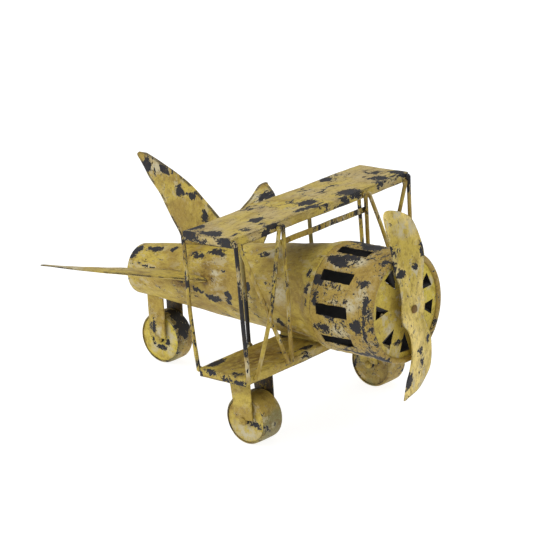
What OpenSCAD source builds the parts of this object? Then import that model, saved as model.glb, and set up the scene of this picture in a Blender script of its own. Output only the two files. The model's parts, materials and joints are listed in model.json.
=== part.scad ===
// Decorative sheet-metal biplane: a tapered tube fuselage with a drum cowl, two boxed
// wings on wire struts, a finned tail and three rolling wheels, standing on its tail wheel.
// Right-handed frame: +X is the nose, +Y the left wing tip, +Z up, and Z = 0 is the ground.

/* [Stance] */
// Nose-up angle of the fuselage when the aeroplane stands on its wheels, in degrees
stance_pitch = 5.3; // [4.5:0.1:6]
// Height of the airframe's reference line over the ground
stance_height = 130; // [129:0.5:134]
// Shift of the airframe along X that centres the whole model on the origin
centre_shift = 46.3; // [44:0.1:49]

/* [Wings] */
// Tip-to-tip span of the upper wing
upper_span = 300; // [296:1:320]
// Front-to-back depth of the upper wing
upper_chord = 70; // [69:0.5:71]
// Height of the upper wing's top over the reference line
upper_top = 110; // [106:0.5:116]
// Tip-to-tip span of the lower wing
lower_span = 287; // [284:1:300]
// Front-to-back depth of the lower wing
lower_chord = 66.5; // [65:0.5:68]
// Height of the lower wing's top over the reference line
lower_top = -45; // [-46:0.5:-44.5]
// Height of a wing's folded edge
wing_depth = 10; // [9:0.5:11]
// Thickness of the sheet metal of wings, fuselage and cowl
sheet = 1; // [0.8:0.1:1.4]

/* [Fuselage] */
// Distance from the reference point back to the tail end
tail_reach = 242; // [238:1:246]
// Radius of the fuselage at its tail end
tail_radius = 28.8; // [28:0.2:30]
// Growth of the fuselage radius for each millimetre towards the nose
tube_taper = 0.0929; // [0.088:0.001:0.096]
// Slope of the fuselage's axis against the reference line
axis_slope = 0.0485; // [0.045:0.0005:0.05]

/* [Cowl] */
// Distance from the reference point to the back of the cowl
cowl_back = 59; // [58:0.5:61]
// Distance from the reference point to the front of the cowl's drum
cowl_front = 141; // [139:0.5:142]
// Outer radius of the cowl's drum
cowl_radius = 60.5; // [60:0.5:62]
// Number of cooling slots round the drum
slot_count = 10; // [6:1:12]
// Length of a cooling slot
slot_length = 42; // [30:1:50]
// Width of a cooling slot
slot_width = 12.5; // [8:0.5:15]
// Distance from the axis to the base of each three-cornered vent
vent_reach = 49; // [46:0.5:50]
// Angle by which a vent's flap is bent inwards, in degrees
flap_angle = 70; // [50:5:75]

/* [Propeller] */
// Distance from the cowl's face to the propeller
propeller_gap = 11; // [11:0.5:14]
// How far the blade tips bend back towards the tail
tip_sweep = 10; // [4:0.5:11]
// Twist of each blade's outer half, in degrees
blade_twist = 8; // [2:0.5:9]
// Radius of the rivet that the propeller turns on
pin_radius = 2.5; // [2:0.1:3]

/* [Wires] */
// Radius of the struts and braces
wire_radius = 2.3; // [1.8:0.1:2.5]
// Distance of the inner front struts from the centre line
inner_front_y = 70; // [67:0.5:74]
// Distance of the inner rear struts from the centre line
inner_rear_y = 58.5; // [57:0.5:62]

/* [Wheels] */
// Radius of the two main wheels
main_radius = 28; // [26:0.5:29]
// Width of a main wheel
main_width = 30; // [26:0.5:31]
// Distance of a main wheel from the centre line
main_y = 107.3; // [102:0.5:110]
// Radius of the tail wheel
tail_wheel_radius = 30; // [28:0.5:31]
// Width of the tail wheel
tail_wheel_width = 24; // [20:0.5:26]
// Radius of the axles
axle_radius = 2.6; // [2:0.1:3.5]

/* [Hidden] */
SIDES = ["left", "right"];
$fn = 72;

YELLOW = [0.75, 0.66, 0.3];
TAN = [0.7, 0.61, 0.38];
DARK = [0.22, 0.22, 0.25];
RUST = [0.5, 0.33, 0.18];

// Running clearance between a turning hole and its fixed pin, on the radius
running_gap = 0.05;
// How much a wire swells where it is bent
bend_swell = 1.04;
// Clearance that keeps two touching pieces of one body from sharing metal
touch_gap = 0.02;

axis_start = -3.15;
slope_angle = atan(axis_slope);
flare_start = 42;
cowl_axis = 10.5;
saddle_length = 58;
saddle_width = 26;

wing_front = upper_chord / 2;
lower_centre = wing_front - lower_chord / 2;
wire_x = wing_front + wire_radius + touch_gap;
rear_upper_x = -upper_chord / 2 - wire_radius - touch_gap;
rear_lower_x = lower_centre - lower_chord / 2 - wire_radius - touch_gap;
upper_foot = upper_top - wing_depth / 2;
lower_foot = lower_top - wing_depth / 2 - 1;

face_x = cowl_front - touch_gap;
propeller_x = cowl_front + propeller_gap;
propeller_sheet = 1.4;
hub_radius = 20;

main_x = 21;
tail_x = -205.7;
leg_sheet = 1.8;
leg_gap = 2.5;
hub_outer = 5;

// Edges of the upper blade at each distance from the pin: [distance, right edge, left edge]
UPPER_BLADE = [
    [10, -20, 18], [28, -20, 18], [45, -22, 20], [60, -23, 22], [75, -24, 19],
    [90, -25.5, 14], [100, -26, 8], [107, -26, -2], [111, -24, -12], [112.5, -21, -18]
];
// Edges of the lower blade, which curves to a point
LOWER_BLADE = [
    [10, -20, 16], [24, -9, 24], [38, -6, 32], [52, -6, 37], [66, -9, 38],
    [78, -14, 35], [88, -16, 25], [95, -17, 9], [100, -18, -15]
];
// Outline of a fin from root to tip: [distance out, trailing edge, leading edge]
VERTICAL_FIN = [
    [28, -174, -62], [48, -182, -86], [62, -191, -103], [77, -200, -121], [91, -208, -138],
    [107, -222, -158], [118, -229, -178], [127, -235, -199], [133, -239, -214], [137, -236, -224]
];
STABILIZER = [
    [24, -188, -98], [45, -192, -107], [75, -196, -121], [105, -200, -136], [137, -205, -156],
    [160, -210, -171], [175, -215, -183], [187, -219, -199], [193, -218, -208], [197, -215, -212.5]
];

// Places children in the airframe's own frame, which is pitched up and raised
module airframe() {
    translate([centre_shift, 0, stance_height]) rotate([0, -stance_pitch, 0]) children();
}

// Places children on the ground frame, under the centred model
module ground() {
    translate([centre_shift, 0, 0]) children();
}

// Turns the axis of a revolved shape from +Z to +X
module along_x() {
    rotate([0, 90, 0]) children();
}

function side_sign(side) = side == "left" ? 1 : -1;
function tube_radius(x) = tail_radius + tube_taper * (x + tail_reach);
function mix(a, b, t) = a + (b - a) * t;

// Round wire through a list of points
module wire(points, radius) {
    for (i = [0 : len(points) - 2]) {
        run = points[i + 1] - points[i];
        translate(points[i])
            rotate([0, acos(run.z / norm(run)), atan2(run.y, run.x)])
                cylinder(r = radius, h = norm(run));
    }
    if (len(points) > 2)
        for (i = [1 : len(points) - 2])
            translate(points[i]) sphere(r = radius * bend_swell);
}

// Frame of the fuselage: +Z runs forward along its own axis from the tail end
module tube_frame() {
    translate([-tail_reach, 0, axis_start]) rotate([0, 90 - slope_angle, 0]) children();
}

// Smooth shoulder from the tapered tube out to the cowl, as [distance, radius] points
function shoulder(inset) = [
    for (i = [0 : 8])
        let (t = i / 8, ease = t * t * (3 - 2 * t))
        [mix(flare_start, cowl_back + 6, t) + tail_reach,
            mix(tube_radius(flare_start), cowl_radius + 0.3, ease) - inset]
];

module tube_solid(inset) {
    tube_frame() rotate_extrude()
        polygon(concat([[0, 0], [tail_radius - inset, 0]],
            [for (p = shoulder(inset)) [p[1], p[0]]],
            [[0, cowl_back + 6 + tail_reach]]));
}

// Everything the fuselage's outer surface encloses, for cutting pieces that meet it
module fuselage_envelope() {
    tube_frame()
        cylinder(r1 = tail_radius, r2 = tube_radius(flare_start), h = flare_start + tail_reach, $fn = 180);
}

// Aft side of the plane where the cowl begins
module behind_cowl() {
    translate([-tail_reach - 60, -100, -100]) cube([tail_reach + 60 + cowl_back, 200, 200]);
}

module fuselage_tube() {
    color(YELLOW) airframe() intersection() {
        difference() {
            tube_solid(0);
            tube_solid(sheet);
        }
        behind_cowl();
    }
}

module tail_cap() {
    crown = 3;
    color(TAN) airframe() tube_frame() difference() {
        translate([0, 0, -crown]) cylinder(r1 = tail_radius - crown, r2 = tail_radius, h = crown);
        translate([0, 0, -crown + sheet]) cylinder(r1 = tail_radius - crown - sheet, r2 = tail_radius - sheet, h = crown);
    }
}

module cowl_drum() {
    first_slot = 4;
    color(YELLOW) airframe() translate([cowl_back + touch_gap, 0, cowl_axis]) difference() {
        along_x() cylinder(r = cowl_radius, h = cowl_front - cowl_back);
        translate([-1, 0, 0]) along_x() cylinder(r = cowl_radius - sheet, h = cowl_front - cowl_back + 2);
        for (i = [0 : slot_count - 1])
            rotate([180 - first_slot - i * 360 / slot_count, 0, 0])
                translate([8, cowl_radius / 2, -slot_width / 2])
                    cube([slot_length, cowl_radius, slot_width]);
    }
}

module cowl_bulkhead() {
    color(DARK) airframe() translate([cowl_back + 1, 0, cowl_axis])
        along_x() cylinder(r = cowl_radius - sheet, h = sheet);
}

// Rim that slides over the drum's front end and rolls round into its mouth
module cowl_lip() {
    skirt = 14;
    roll = 3.4;
    inner = cowl_radius + touch_gap;
    bend_centre = inner + sheet - roll;
    color(YELLOW) airframe() translate([cowl_front, 0, cowl_axis])
        along_x() rotate_extrude() polygon(concat(
            [[inner, -skirt], [inner + sheet, -skirt]],
            [for (a = [0 : 15 : 180]) [bend_centre + roll * cos(a), roll * sin(a)]],
            [for (a = [180 : -15 : 0]) [bend_centre + (roll - sheet) * cos(a), (roll - sheet) * sin(a)]]
        ));
}

// Flat corner points of one vent, in the plane of the face
vent_corners = [[27, 0], [vent_reach, -8], [vent_reach, 8]];

module cowl_face() {
    vent_turns = [-30, 18, 66, 105, 144, 184, 226, 278];
    rim = cowl_radius - sheet - touch_gap;
    color(YELLOW) airframe() translate([face_x, 0, cowl_axis]) along_x() {
        difference() {
            translate([0, 0, -sheet]) cylinder(r = rim, h = sheet);
            translate([0, 0, -5]) cylinder(r = pin_radius, h = 10);
            for (turn = vent_turns)
                rotate(90 - turn) translate([0, 0, -5]) linear_extrude(10) polygon(vent_corners);
        }
        for (turn = vent_turns)
            rotate(90 - turn) vent_flap();
    }
}

// The cut-out metal of a vent, still joined along one edge and bent into the cowl
module vent_flap() {
    edge = [vent_reach - 27, 8];
    lean = atan2(edge.y, edge.x);
    translate([27, 0, -sheet]) rotate(lean) rotate([flap_angle, 0, 0]) translate([0, 0, -0.3])
        linear_extrude(sheet) polygon([[1, 0.2], [norm(edge) - 1, 0.2], [norm(edge) * 0.86, -13]]);
}

// Wing panel folded from one sheet: a top with four edges turned down
module wing_skin(span, chord) {
    difference() {
        translate([-chord / 2, -span / 2, -wing_depth]) cube([chord, span, wing_depth]);
        translate([-chord / 2 + sheet, -span / 2 + sheet, -wing_depth - 1])
            cube([chord - 2 * sheet, span - 2 * sheet, wing_depth + 1 - sheet]);
    }
}

// Closing sheet let into the open underside of a wing
module wing_underside(span, chord) {
    inset = sheet + touch_gap;
    translate([-chord / 2 + inset, -span / 2 + inset, -wing_depth + 0.4])
        cube([chord - 2 * inset, span - 2 * inset, sheet]);
}

module upper_wing_skin() {
    color(TAN) airframe() translate([0, 0, upper_top]) wing_skin(upper_span, upper_chord);
}

module upper_wing_underside() {
    color(TAN) airframe() translate([0, 0, upper_top]) wing_underside(upper_span, upper_chord);
}

module lower_wing_skin() {
    color(YELLOW) airframe() translate([lower_centre, 0, lower_top]) wing_skin(lower_span, lower_chord);
}

module lower_wing_underside() {
    color(YELLOW) airframe() translate([lower_centre, 0, lower_top]) wing_underside(lower_span, lower_chord);
}

// Packing strip that fills the gap between the round fuselage and the flat lower wing
module wing_saddle() {
    color(YELLOW) airframe() difference() {
        translate([lower_centre - saddle_length / 2, -saddle_width / 2, lower_top + touch_gap])
            cube([saddle_length, saddle_width, 12]);
        fuselage_envelope();
    }
}

module cross_bar() {
    height = 6.5;
    level = 86.6;
    color(YELLOW) airframe()
        translate([wing_front - 1.6, -inner_front_y - wire_radius, level - height / 2])
            cube([1.6, 2 * (inner_front_y + wire_radius), height]);
}

// Points of a strut on the left side, from the upper wing's edge to the lower wing's
function strut_points(place) =
    place == "front_outer" ? [[wire_x, 147, upper_foot + 2], [wire_x, 141, lower_foot]] :
    place == "front_inner" ? [[wire_x, inner_front_y, upper_foot + 1], [wire_x, inner_front_y, lower_foot + 2]] :
    place == "rear_outer" ? [
        [rear_upper_x, 147, upper_foot - 1], [mix(rear_upper_x, rear_lower_x, 0.6), 146, 12],
        [rear_lower_x, 141.5, lower_foot + 1]
    ] :
    [[rear_upper_x, inner_rear_y, upper_foot - 2], [rear_lower_x, inner_rear_y, lower_foot + 3]];

function brace_points(way) =
    way == "falling" ? [[wire_x, 141.5, upper_top - 8], [wire_x, 75.5, lower_top - 3]] :
    [
        [wire_x, 76, upper_top - 5], [wire_x + 4.8, 97, 42], [wire_x + 4.8, 108, 8],
        [wire_x, 128, lower_top - 6]
    ];

// Mirrors the left-hand points to the right-hand side
function on_side(points, side) = [for (p = points) [p.x, p.y * side_sign(side), p.z]];

module strut(place, side) {
    color(place == "rear_inner" ? DARK : YELLOW) airframe()
        wire(on_side(strut_points(place), side), wire_radius);
}

module brace(way, side) {
    color(YELLOW) airframe() wire(on_side(brace_points(way), side), wire_radius);
}

// Thickness of a hollow fin across its chord: nothing at the edges, full in the middle
function crown(t) = sqrt(max(0, 4 * t * (1 - t)));

// One ring of a fin's skin, up one face and down the other
function fin_ring(row, thickness, steps) = concat(
    [for (i = [0 : steps]) let (t = i / steps)
        [mix(row[1], row[2], t), 0.3 + thickness / 2 * crown(t), row[0]]],
    [for (i = [steps : -1 : 0]) let (t = i / steps)
        [mix(row[1], row[2], t), -0.3 - thickness / 2 * crown(t), row[0]]]
);

// Triangles that close one end ring, whose points run along one face and back along the other
function end_cap(n, first, outward) = [
    for (i = [0 : n / 2 - 2])
        let (a = first + i, b = first + i + 1, c = first + n - 2 - i, d = first + n - 1 - i)
        each outward ? [[a, b, c], [a, c, d]] : [[a, c, b], [a, d, c]]
];

// Closed skin over a list of rings with equal point counts
module loft(rings) {
    n = len(rings[0]);
    m = len(rings);
    polyhedron(
        points = [for (r = rings) each r],
        faces = concat(
            end_cap(n, 0, false),
            [for (k = [0 : m - 2], i = [0 : n - 1]) each [
                [k * n + i, (k + 1) * n + (i + 1) % n, (k + 1) * n + i],
                [k * n + i, k * n + (i + 1) % n, (k + 1) * n + (i + 1) % n]
            ]],
            end_cap(n, (m - 1) * n, true)
        )
    );
}

// Hollow-looking fin whose thickness falls away to its tip
module fin(rows, root_thickness) {
    reach = rows[len(rows) - 1][0] - rows[0][0];
    loft([for (r = rows) fin_ring(r, root_thickness * (1 - (r[0] - rows[0][0]) / reach) + 0.4, 8)]);
}

module vertical_fin() {
    color(YELLOW) airframe() difference() {
        fin(VERTICAL_FIN, 7);
        fuselage_envelope();
    }
}

module stabilizer(side) {
    dihedral = 15.8;
    color(YELLOW) airframe() difference() {
        translate([0, 0, 2]) rotate([-side_sign(side) * (90 - dihedral), 0, 0]) fin(STABILIZER, 9);
        fuselage_envelope();
    }
}

module propeller_pin() {
    head = 5.5;
    tail_end = 2;
    color(RUST) airframe() translate([face_x, 0, cowl_axis]) along_x() {
        translate([0, 0, -sheet - tail_end]) cylinder(r1 = 4, r2 = 4.8, h = tail_end);
        translate([0, 0, -sheet - 0.5]) cylinder(r = pin_radius, h = propeller_x - face_x + propeller_sheet + 2.5);
        translate([0, 0, propeller_x - face_x + propeller_sheet + 0.5])
            cylinder(r1 = head, r2 = head - 2.5, h = 2.6);
    }
}

module propeller_spacer() {
    color(YELLOW) airframe() translate([face_x, 0, cowl_axis]) along_x() difference() {
        cylinder(r = 6, h = propeller_x - face_x - 0.5);
        translate([0, 0, -1]) cylinder(r = pin_radius, h = 30);
    }
}

// How far back the blade is bent at a distance from the pin
function sweep(s) = -tip_sweep * pow(s / 112, 2);
// Twist at a distance from the pin, which grows over the blade's inner half
function twist_at(s) = blade_twist * min(1, max(0, (s - hub_radius) / 30));

// One ring round a blade: front edge to edge, then back
function blade_ring(row, up) =
    let (
        middle = (row[1] + row[2]) / 2,
        half = (row[2] - row[1]) / 2,
        steps = 4
    )
    concat(
        [for (i = [0 : steps]) let (t = -1 + 2 * i / steps)
            [sweep(row[0]) + up * t * half * sin(twist_at(row[0])), middle + t * half, up * row[0]]],
        [for (i = [steps : -1 : 0]) let (t = -1 + 2 * i / steps)
            [sweep(row[0]) + up * t * half * sin(twist_at(row[0])) + propeller_sheet,
                middle + t * half, up * row[0]]]
    );

module blade(rows, up) {
    if (up > 0)
        loft([for (r = rows) blade_ring(r, up)]);
    else
        mirror([0, 0, 1]) loft([for (r = rows) [for (p = blade_ring(r, up)) [p.x, p.y, -p.z]]]);
}

module propeller() {
    color(YELLOW) airframe() translate([propeller_x, 0, cowl_axis]) difference() {
        union() {
            blade(UPPER_BLADE, 1);
            blade(LOWER_BLADE, -1);
            translate([-0.3, 0, 0]) along_x() cylinder(r = hub_radius, h = propeller_sheet + 0.6);
        }
        translate([-15, 0, 0]) along_x() cylinder(r = pin_radius + running_gap, h = 30);
    }
}

// Height over the ground of the lower wing's flat underside, at a distance along the ground
function wing_under(x) =
    stance_height + (lower_top - wing_depth + 0.4) / cos(stance_pitch) + x * tan(stance_pitch) - touch_gap;

// Side plate of a fork, cut off just above the axle, with a round tongue that holds the axle
module leg_plate(x, axle_height, outline) {
    tongue = axle_radius + 2.4;
    rotate([90, 0, 0]) difference() {
        union() {
            linear_extrude(leg_sheet) polygon(outline);
            translate([x, axle_height, 0]) cylinder(r = tongue, h = leg_sheet);
        }
        translate([x, axle_height, -1]) cylinder(r = axle_radius, h = leg_sheet + 2);
    }
}

// Side plate of a main wheel's fork, which leans forward a little from the wing to the axle
module main_leg(y) {
    top_back = main_x - 20.5;
    top_front = main_x + 8.5;
    translate([0, y, 0])
        leg_plate(main_x, main_radius, [
            [top_back, wing_under(top_back)], [top_front, wing_under(top_front)],
            [main_x + 13, main_radius + 3.4], [main_x - 11, main_radius + 1]
        ]);
}

// Side plate of the tail fork, cut to the fuselage's underside
module tail_leg(y) {
    difference() {
        translate([0, y, 0])
            leg_plate(tail_x, tail_wheel_radius, [
                [tail_x - 16, 110], [tail_x + 8, 110],
                [tail_x + 11.6, tail_wheel_radius + 3], [tail_x - 12, tail_wheel_radius + 2.5]
            ]);
        translate([-centre_shift, 0, 0]) airframe() fuselage_envelope();
    }
}

function wheel_x(gear) = gear == "tail" ? tail_x : main_x;
function wheel_y(gear) = gear == "tail" ? 0 : main_y * side_sign(gear);
function wheel_r(gear) = gear == "tail" ? tail_wheel_radius : main_radius;
function wheel_w(gear) = gear == "tail" ? tail_wheel_width : main_width;
// Which way along Y the outer face of a wheel looks; the tail wheel's outer face is the right one
function outward(gear) = gear == "left" ? 1 : -1;

module fork_leg(gear, place) {
    away = outward(gear) * (place == "outer" ? 1 : -1);
    inner_face = wheel_y(gear) + away * (wheel_w(gear) / 2 + leg_gap);
    y = away > 0 ? inner_face + leg_sheet : inner_face;
    color(YELLOW) ground() {
        if (gear == "tail") tail_leg(y);
        else main_leg(y);
    }
}

// Frame of a wheel: +Z points out along its axle
module wheel_frame(gear) {
    ground() translate([wheel_x(gear), wheel_y(gear), wheel_r(gear)])
        rotate([-90 * outward(gear), 0, 0]) children();
}

module wheel_axle(gear) {
    reach = wheel_w(gear) / 2 + leg_gap + leg_sheet;
    head = 2.2;
    color(RUST) wheel_frame(gear) {
        cylinder(r = axle_radius, h = 2 * reach, center = true);
        for (flip = [0, 180])
            rotate([flip, 0, 0]) translate([0, 0, reach])
                cylinder(r1 = axle_radius + 1.6, r2 = axle_radius + 0.4, h = head);
    }
}

module wheel_tread(gear) {
    r = wheel_r(gear);
    w = wheel_w(gear);
    shoulder_r = 1.6;
    color(YELLOW) wheel_frame(gear) rotate_extrude() polygon(concat(
        [[r - sheet - 1, -w / 2]],
        [for (a = [0 : 15 : 90]) [r - shoulder_r + shoulder_r * sin(a), -w / 2 + shoulder_r - shoulder_r * cos(a)]],
        [for (a = [0 : 15 : 90]) [r - shoulder_r + shoulder_r * cos(a), w / 2 - shoulder_r + shoulder_r * sin(a)]],
        [[r - sheet - 1, w / 2]]
    ));
}

module wheel_disc(gear, place) {
    r = wheel_r(gear) - sheet - 1 - touch_gap;
    level = wheel_w(gear) / 2 - 1.8;
    turn = place == "outer" ? 0 : 180;
    color(YELLOW) wheel_frame(gear) rotate([turn, 0, 0]) difference() {
        translate([0, 0, level]) cylinder(r = r, h = sheet);
        cylinder(r = hub_outer, h = 40);
    }
}

module wheel_hub(gear) {
    half = wheel_w(gear) / 2 + leg_gap - 0.8;
    color(DARK) wheel_frame(gear) difference() {
        cylinder(r = hub_outer - touch_gap, h = 2 * half, center = true);
        cylinder(r = axle_radius + running_gap, h = 2 * half + 2, center = true);
    }
}

fuselage_tube();
tail_cap();
cowl_drum();
cowl_bulkhead();
cowl_lip();
cowl_face();
upper_wing_skin();
upper_wing_underside();
lower_wing_skin();
lower_wing_underside();
wing_saddle();
cross_bar();
vertical_fin();
propeller_pin();
propeller_spacer();
propeller();
for (side = SIDES) {
    stabilizer(side);
    for (place = ["front_outer", "front_inner", "rear_outer", "rear_inner"])
        strut(place, side);
    for (way = ["falling", "rising"])
        brace(way, side);
}
for (gear = ["left", "right", "tail"]) {
    for (place = ["outer", "inner"])
        fork_leg(gear, place);
    wheel_axle(gear);
    wheel_tread(gear);
    for (place = ["outer", "inner"])
        wheel_disc(gear, place);
    wheel_hub(gear);
}
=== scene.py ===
"""Worn sheet-metal toy biplane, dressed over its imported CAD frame.

Each sub-assembly is a class that models its pieces in millimetres, in the frame of the
airframe or of the ground, and hands them to the workshop, which bakes their place into
the mesh, paints them and lets them ride on their CAD body.
"""

import json
import logging
import math
from dataclasses import dataclass
from enum import Enum
from typing import Callable, Sequence

import bmesh
import bpy
from mathutils import Matrix, Vector, kdtree, noise


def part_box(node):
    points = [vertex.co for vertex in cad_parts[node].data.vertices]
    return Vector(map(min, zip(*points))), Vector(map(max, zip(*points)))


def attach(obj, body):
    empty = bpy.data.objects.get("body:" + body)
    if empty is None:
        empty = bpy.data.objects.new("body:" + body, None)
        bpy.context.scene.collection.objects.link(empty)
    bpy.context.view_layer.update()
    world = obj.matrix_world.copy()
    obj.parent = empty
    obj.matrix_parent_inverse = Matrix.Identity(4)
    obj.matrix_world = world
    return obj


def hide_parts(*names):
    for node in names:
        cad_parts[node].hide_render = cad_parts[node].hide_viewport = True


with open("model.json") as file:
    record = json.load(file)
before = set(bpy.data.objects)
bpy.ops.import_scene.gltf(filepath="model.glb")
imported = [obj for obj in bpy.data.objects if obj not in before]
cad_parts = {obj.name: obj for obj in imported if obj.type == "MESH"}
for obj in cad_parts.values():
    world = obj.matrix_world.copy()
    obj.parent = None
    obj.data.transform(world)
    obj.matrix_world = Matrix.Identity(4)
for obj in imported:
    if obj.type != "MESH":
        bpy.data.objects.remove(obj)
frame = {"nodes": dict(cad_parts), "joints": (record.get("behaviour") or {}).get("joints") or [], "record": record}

LOG = logging.getLogger("biplane")
MM = 0.001
# Without a seed of its own, noise_vector takes its offsets from the clock.
NOISE_SEED = 7
Profile = Sequence[tuple[float, float]]
Ring = Sequence[Vector]
Node = bpy.types.Node
Socket = bpy.types.NodeSocket


class Side(Enum):
    """The two sides of the aeroplane, with the sign of their Y."""

    LEFT = 1
    RIGHT = -1

    @property
    def word(self) -> str:
        """Names this side.

        Returns:
            The word that node names use.
        """
        return self.name.lower()


class Gear(Enum):
    """The three wheels."""

    LEFT = "left"
    RIGHT = "right"
    TAIL = "tail"


# ---------------------------------------------------------------- frames of reference


class Datum:
    """A frame to model in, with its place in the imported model.

    Attributes:
        matrix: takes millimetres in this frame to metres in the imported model.
    """

    def __init__(self, matrix: Matrix) -> None:
        """Keeps the matrix.

        Args:
            matrix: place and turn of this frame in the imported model, in metres.
        """
        self.matrix = matrix @ Matrix.Scale(MM, 4)

    def box(self, node: str) -> tuple[Vector, Vector]:
        """Lowest and highest corner of a CAD node, measured along this frame's axes.

        Args:
            node: name of the CAD node.

        Returns:
            The two corners in millimetres.
        """
        back = self.matrix.inverted()
        points = [back @ v.co for v in frame["nodes"][node].data.vertices]
        low = Vector(min(p[i] for p in points) for i in range(3))
        high = Vector(max(p[i] for p in points) for i in range(3))
        return low, high


def airframe_datum() -> Datum:
    """Frame of the pitched airframe, found from the propeller's joint.

    Returns:
        The frame whose +X runs forward along the wings' chord line.
    """
    pin_place = Vector((0.1527, 0.0, 0.0105))
    joint = next(j for j in frame["joints"] if j["child"] == "propeller")
    axis = Vector(joint["axis"])
    turn = Matrix.Rotation(-math.atan2(axis.z, axis.x), 4, "Y")
    return Datum(Matrix.Translation(Vector(joint["pos_m"]) - turn @ pin_place) @ turn)


def wheel_datum(gear: Gear) -> Datum:
    """Frame of one wheel, with its origin at the wheel's centre.

    Args:
        gear: the wheel.

    Returns:
        The frame whose +X runs out along the axle, towards the outer disc.
    """
    joint = next(j for j in frame["joints"] if j["child"] == f"{gear.value}_wheel")
    out = 1 if gear is Gear.LEFT else -1
    turn = Matrix.Rotation(math.radians(90 * out), 4, "Z")
    return Datum(Matrix.Translation(Vector(joint["pos_m"])) @ turn)


GROUND = Datum(Matrix.Identity(4))
AIRFRAME = airframe_datum()


# ---------------------------------------------------------------- modelling by operators


def active() -> bpy.types.Object:
    """Finds the active object.

    Returns:
        The object that the last operator made or worked on.
    """
    return bpy.context.view_layer.objects.active


def pick_only(piece: bpy.types.Object) -> None:
    """Selects one object and nothing else.

    Args:
        piece: the object.
    """
    bpy.ops.object.select_all(action="DESELECT")
    piece.select_set(True)
    bpy.context.view_layer.objects.active = piece


def edit(piece: bpy.types.Object) -> bmesh.types.BMesh:
    """Opens an object in edit mode.

    Args:
        piece: the object.

    Returns:
        Its editable mesh.
    """
    pick_only(piece)
    bpy.ops.object.mode_set(mode="EDIT")
    bpy.ops.mesh.select_mode(type="VERT")
    return bmesh.from_edit_mesh(piece.data)


def leave_edit() -> None:
    """Goes back to object mode."""
    bpy.ops.object.mode_set(mode="OBJECT")


def choose(piece: bpy.types.Object, mode: str, wanted: Callable[[object], bool]) -> None:
    """Selects the vertices, edges or faces of the open mesh that pass a test.

    Args:
        piece: the object in edit mode.
        mode: VERT, EDGE or FACE.
        wanted: the test.
    """
    bpy.ops.mesh.select_mode(type=mode)
    bpy.ops.mesh.select_all(action="DESELECT")
    mesh = bmesh.from_edit_mesh(piece.data)
    items = {"VERT": mesh.verts, "EDGE": mesh.edges, "FACE": mesh.faces}[mode]
    for item in items:
        if wanted(item):
            item.select = True
    mesh.select_flush_mode()
    bmesh.update_edit_mesh(piece.data)


def swept(name: str, rings: Sequence[Ring], capped: bool = True) -> bpy.types.Object:
    """Skin over a row of rings: a circle, extruded from ring to ring.

    Args:
        name: name of the new object.
        rings: closed rings of equal point counts, in order.
        capped: whether both ends are closed.

    Returns:
        The new object.
    """
    bpy.ops.object.select_all(action="DESELECT")
    fill = "NGON" if capped else "NOTHING"
    bpy.ops.mesh.primitive_circle_add(vertices=len(rings[0]), fill_type=fill)
    piece = active()
    piece.name = name
    mesh = edit(piece)
    for vertex, point in zip(mesh.verts, rings[0]):
        vertex.co = point
    bpy.ops.mesh.select_all(action="SELECT")
    for last, ring in zip(rings, rings[1:]):
        bpy.ops.mesh.extrude_region_move()
        nearest = kdtree.KDTree(len(last))
        for i, point in enumerate(last):
            nearest.insert(point, i)
        nearest.balance()
        mesh = bmesh.from_edit_mesh(piece.data)
        for vertex in mesh.verts:
            if vertex.select:
                vertex.co = ring[nearest.find(vertex.co)[1]]
        bmesh.update_edit_mesh(piece.data)
    leave_edit()
    return piece


def circle_ring(centre: Vector, side: Vector, up: Vector, radius: float, count: int) -> list[Vector]:
    """Points of a circle.

    Args:
        centre: its centre.
        side: unit vector to its first point.
        up: unit vector to the point a quarter turn on.
        radius: its radius.
        count: number of points.

    Returns:
        The points in order.
    """
    turns = [2 * math.pi * i / count for i in range(count)]
    return [centre + radius * (math.cos(a) * side + math.sin(a) * up) for a in turns]


def turned(
    name: str, profile: Profile, count: int, capped: bool = True, level: float = 0
) -> bpy.types.Object:
    """Shape turned about an axis along +X.

    Args:
        name: name of the new object.
        profile: pairs of distance along X and radius.
        count: number of points round it.
        capped: whether both ends are closed.
        level: height of the axis.

    Returns:
        The new object.
    """
    side, up = Vector((0, 1, 0)), Vector((0, 0, 1))
    rings = [circle_ring(Vector((x, 0, level)), side, up, r, count) for x, r in profile]
    return swept(name, rings, capped)


def turned_ring(name: str, profile: Profile, count: int, level: float = 0) -> bpy.types.Object:
    """Closed ring turned about an axis along +X from a closed profile.

    Args:
        name: name of the new object.
        profile: pairs of distance along X and radius, going round the section.
        count: number of points round the axis.
        level: height of the axis.

    Returns:
        The new object.
    """
    piece = turned(name, [*profile, profile[0]], count, capped=False, level=level)
    edit(piece)
    bpy.ops.mesh.select_all(action="SELECT")
    bpy.ops.mesh.remove_doubles(threshold=0.001)
    leave_edit()
    return piece


def smooth_path(points: Sequence[Vector], steps: int) -> list[Vector]:
    """Soft curve through the given points.

    Args:
        points: the points.
        steps: number of pieces that each stretch is cut into.

    Returns:
        The finer row of points.
    """
    ends = [2 * points[0] - points[1], *points, 2 * points[-1] - points[-2]]
    path = []
    for a, b, c, d in zip(ends, ends[1:], ends[2:], ends[3:]):
        for i in range(steps):
            t = i / steps
            path.append(
                0.5 * (2 * b + (c - a) * t + (2 * a - 5 * b + 4 * c - d) * t * t
                       + (3 * b - a - 3 * c + d) * t ** 3)
            )
    return [*path, points[-1]]


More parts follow.
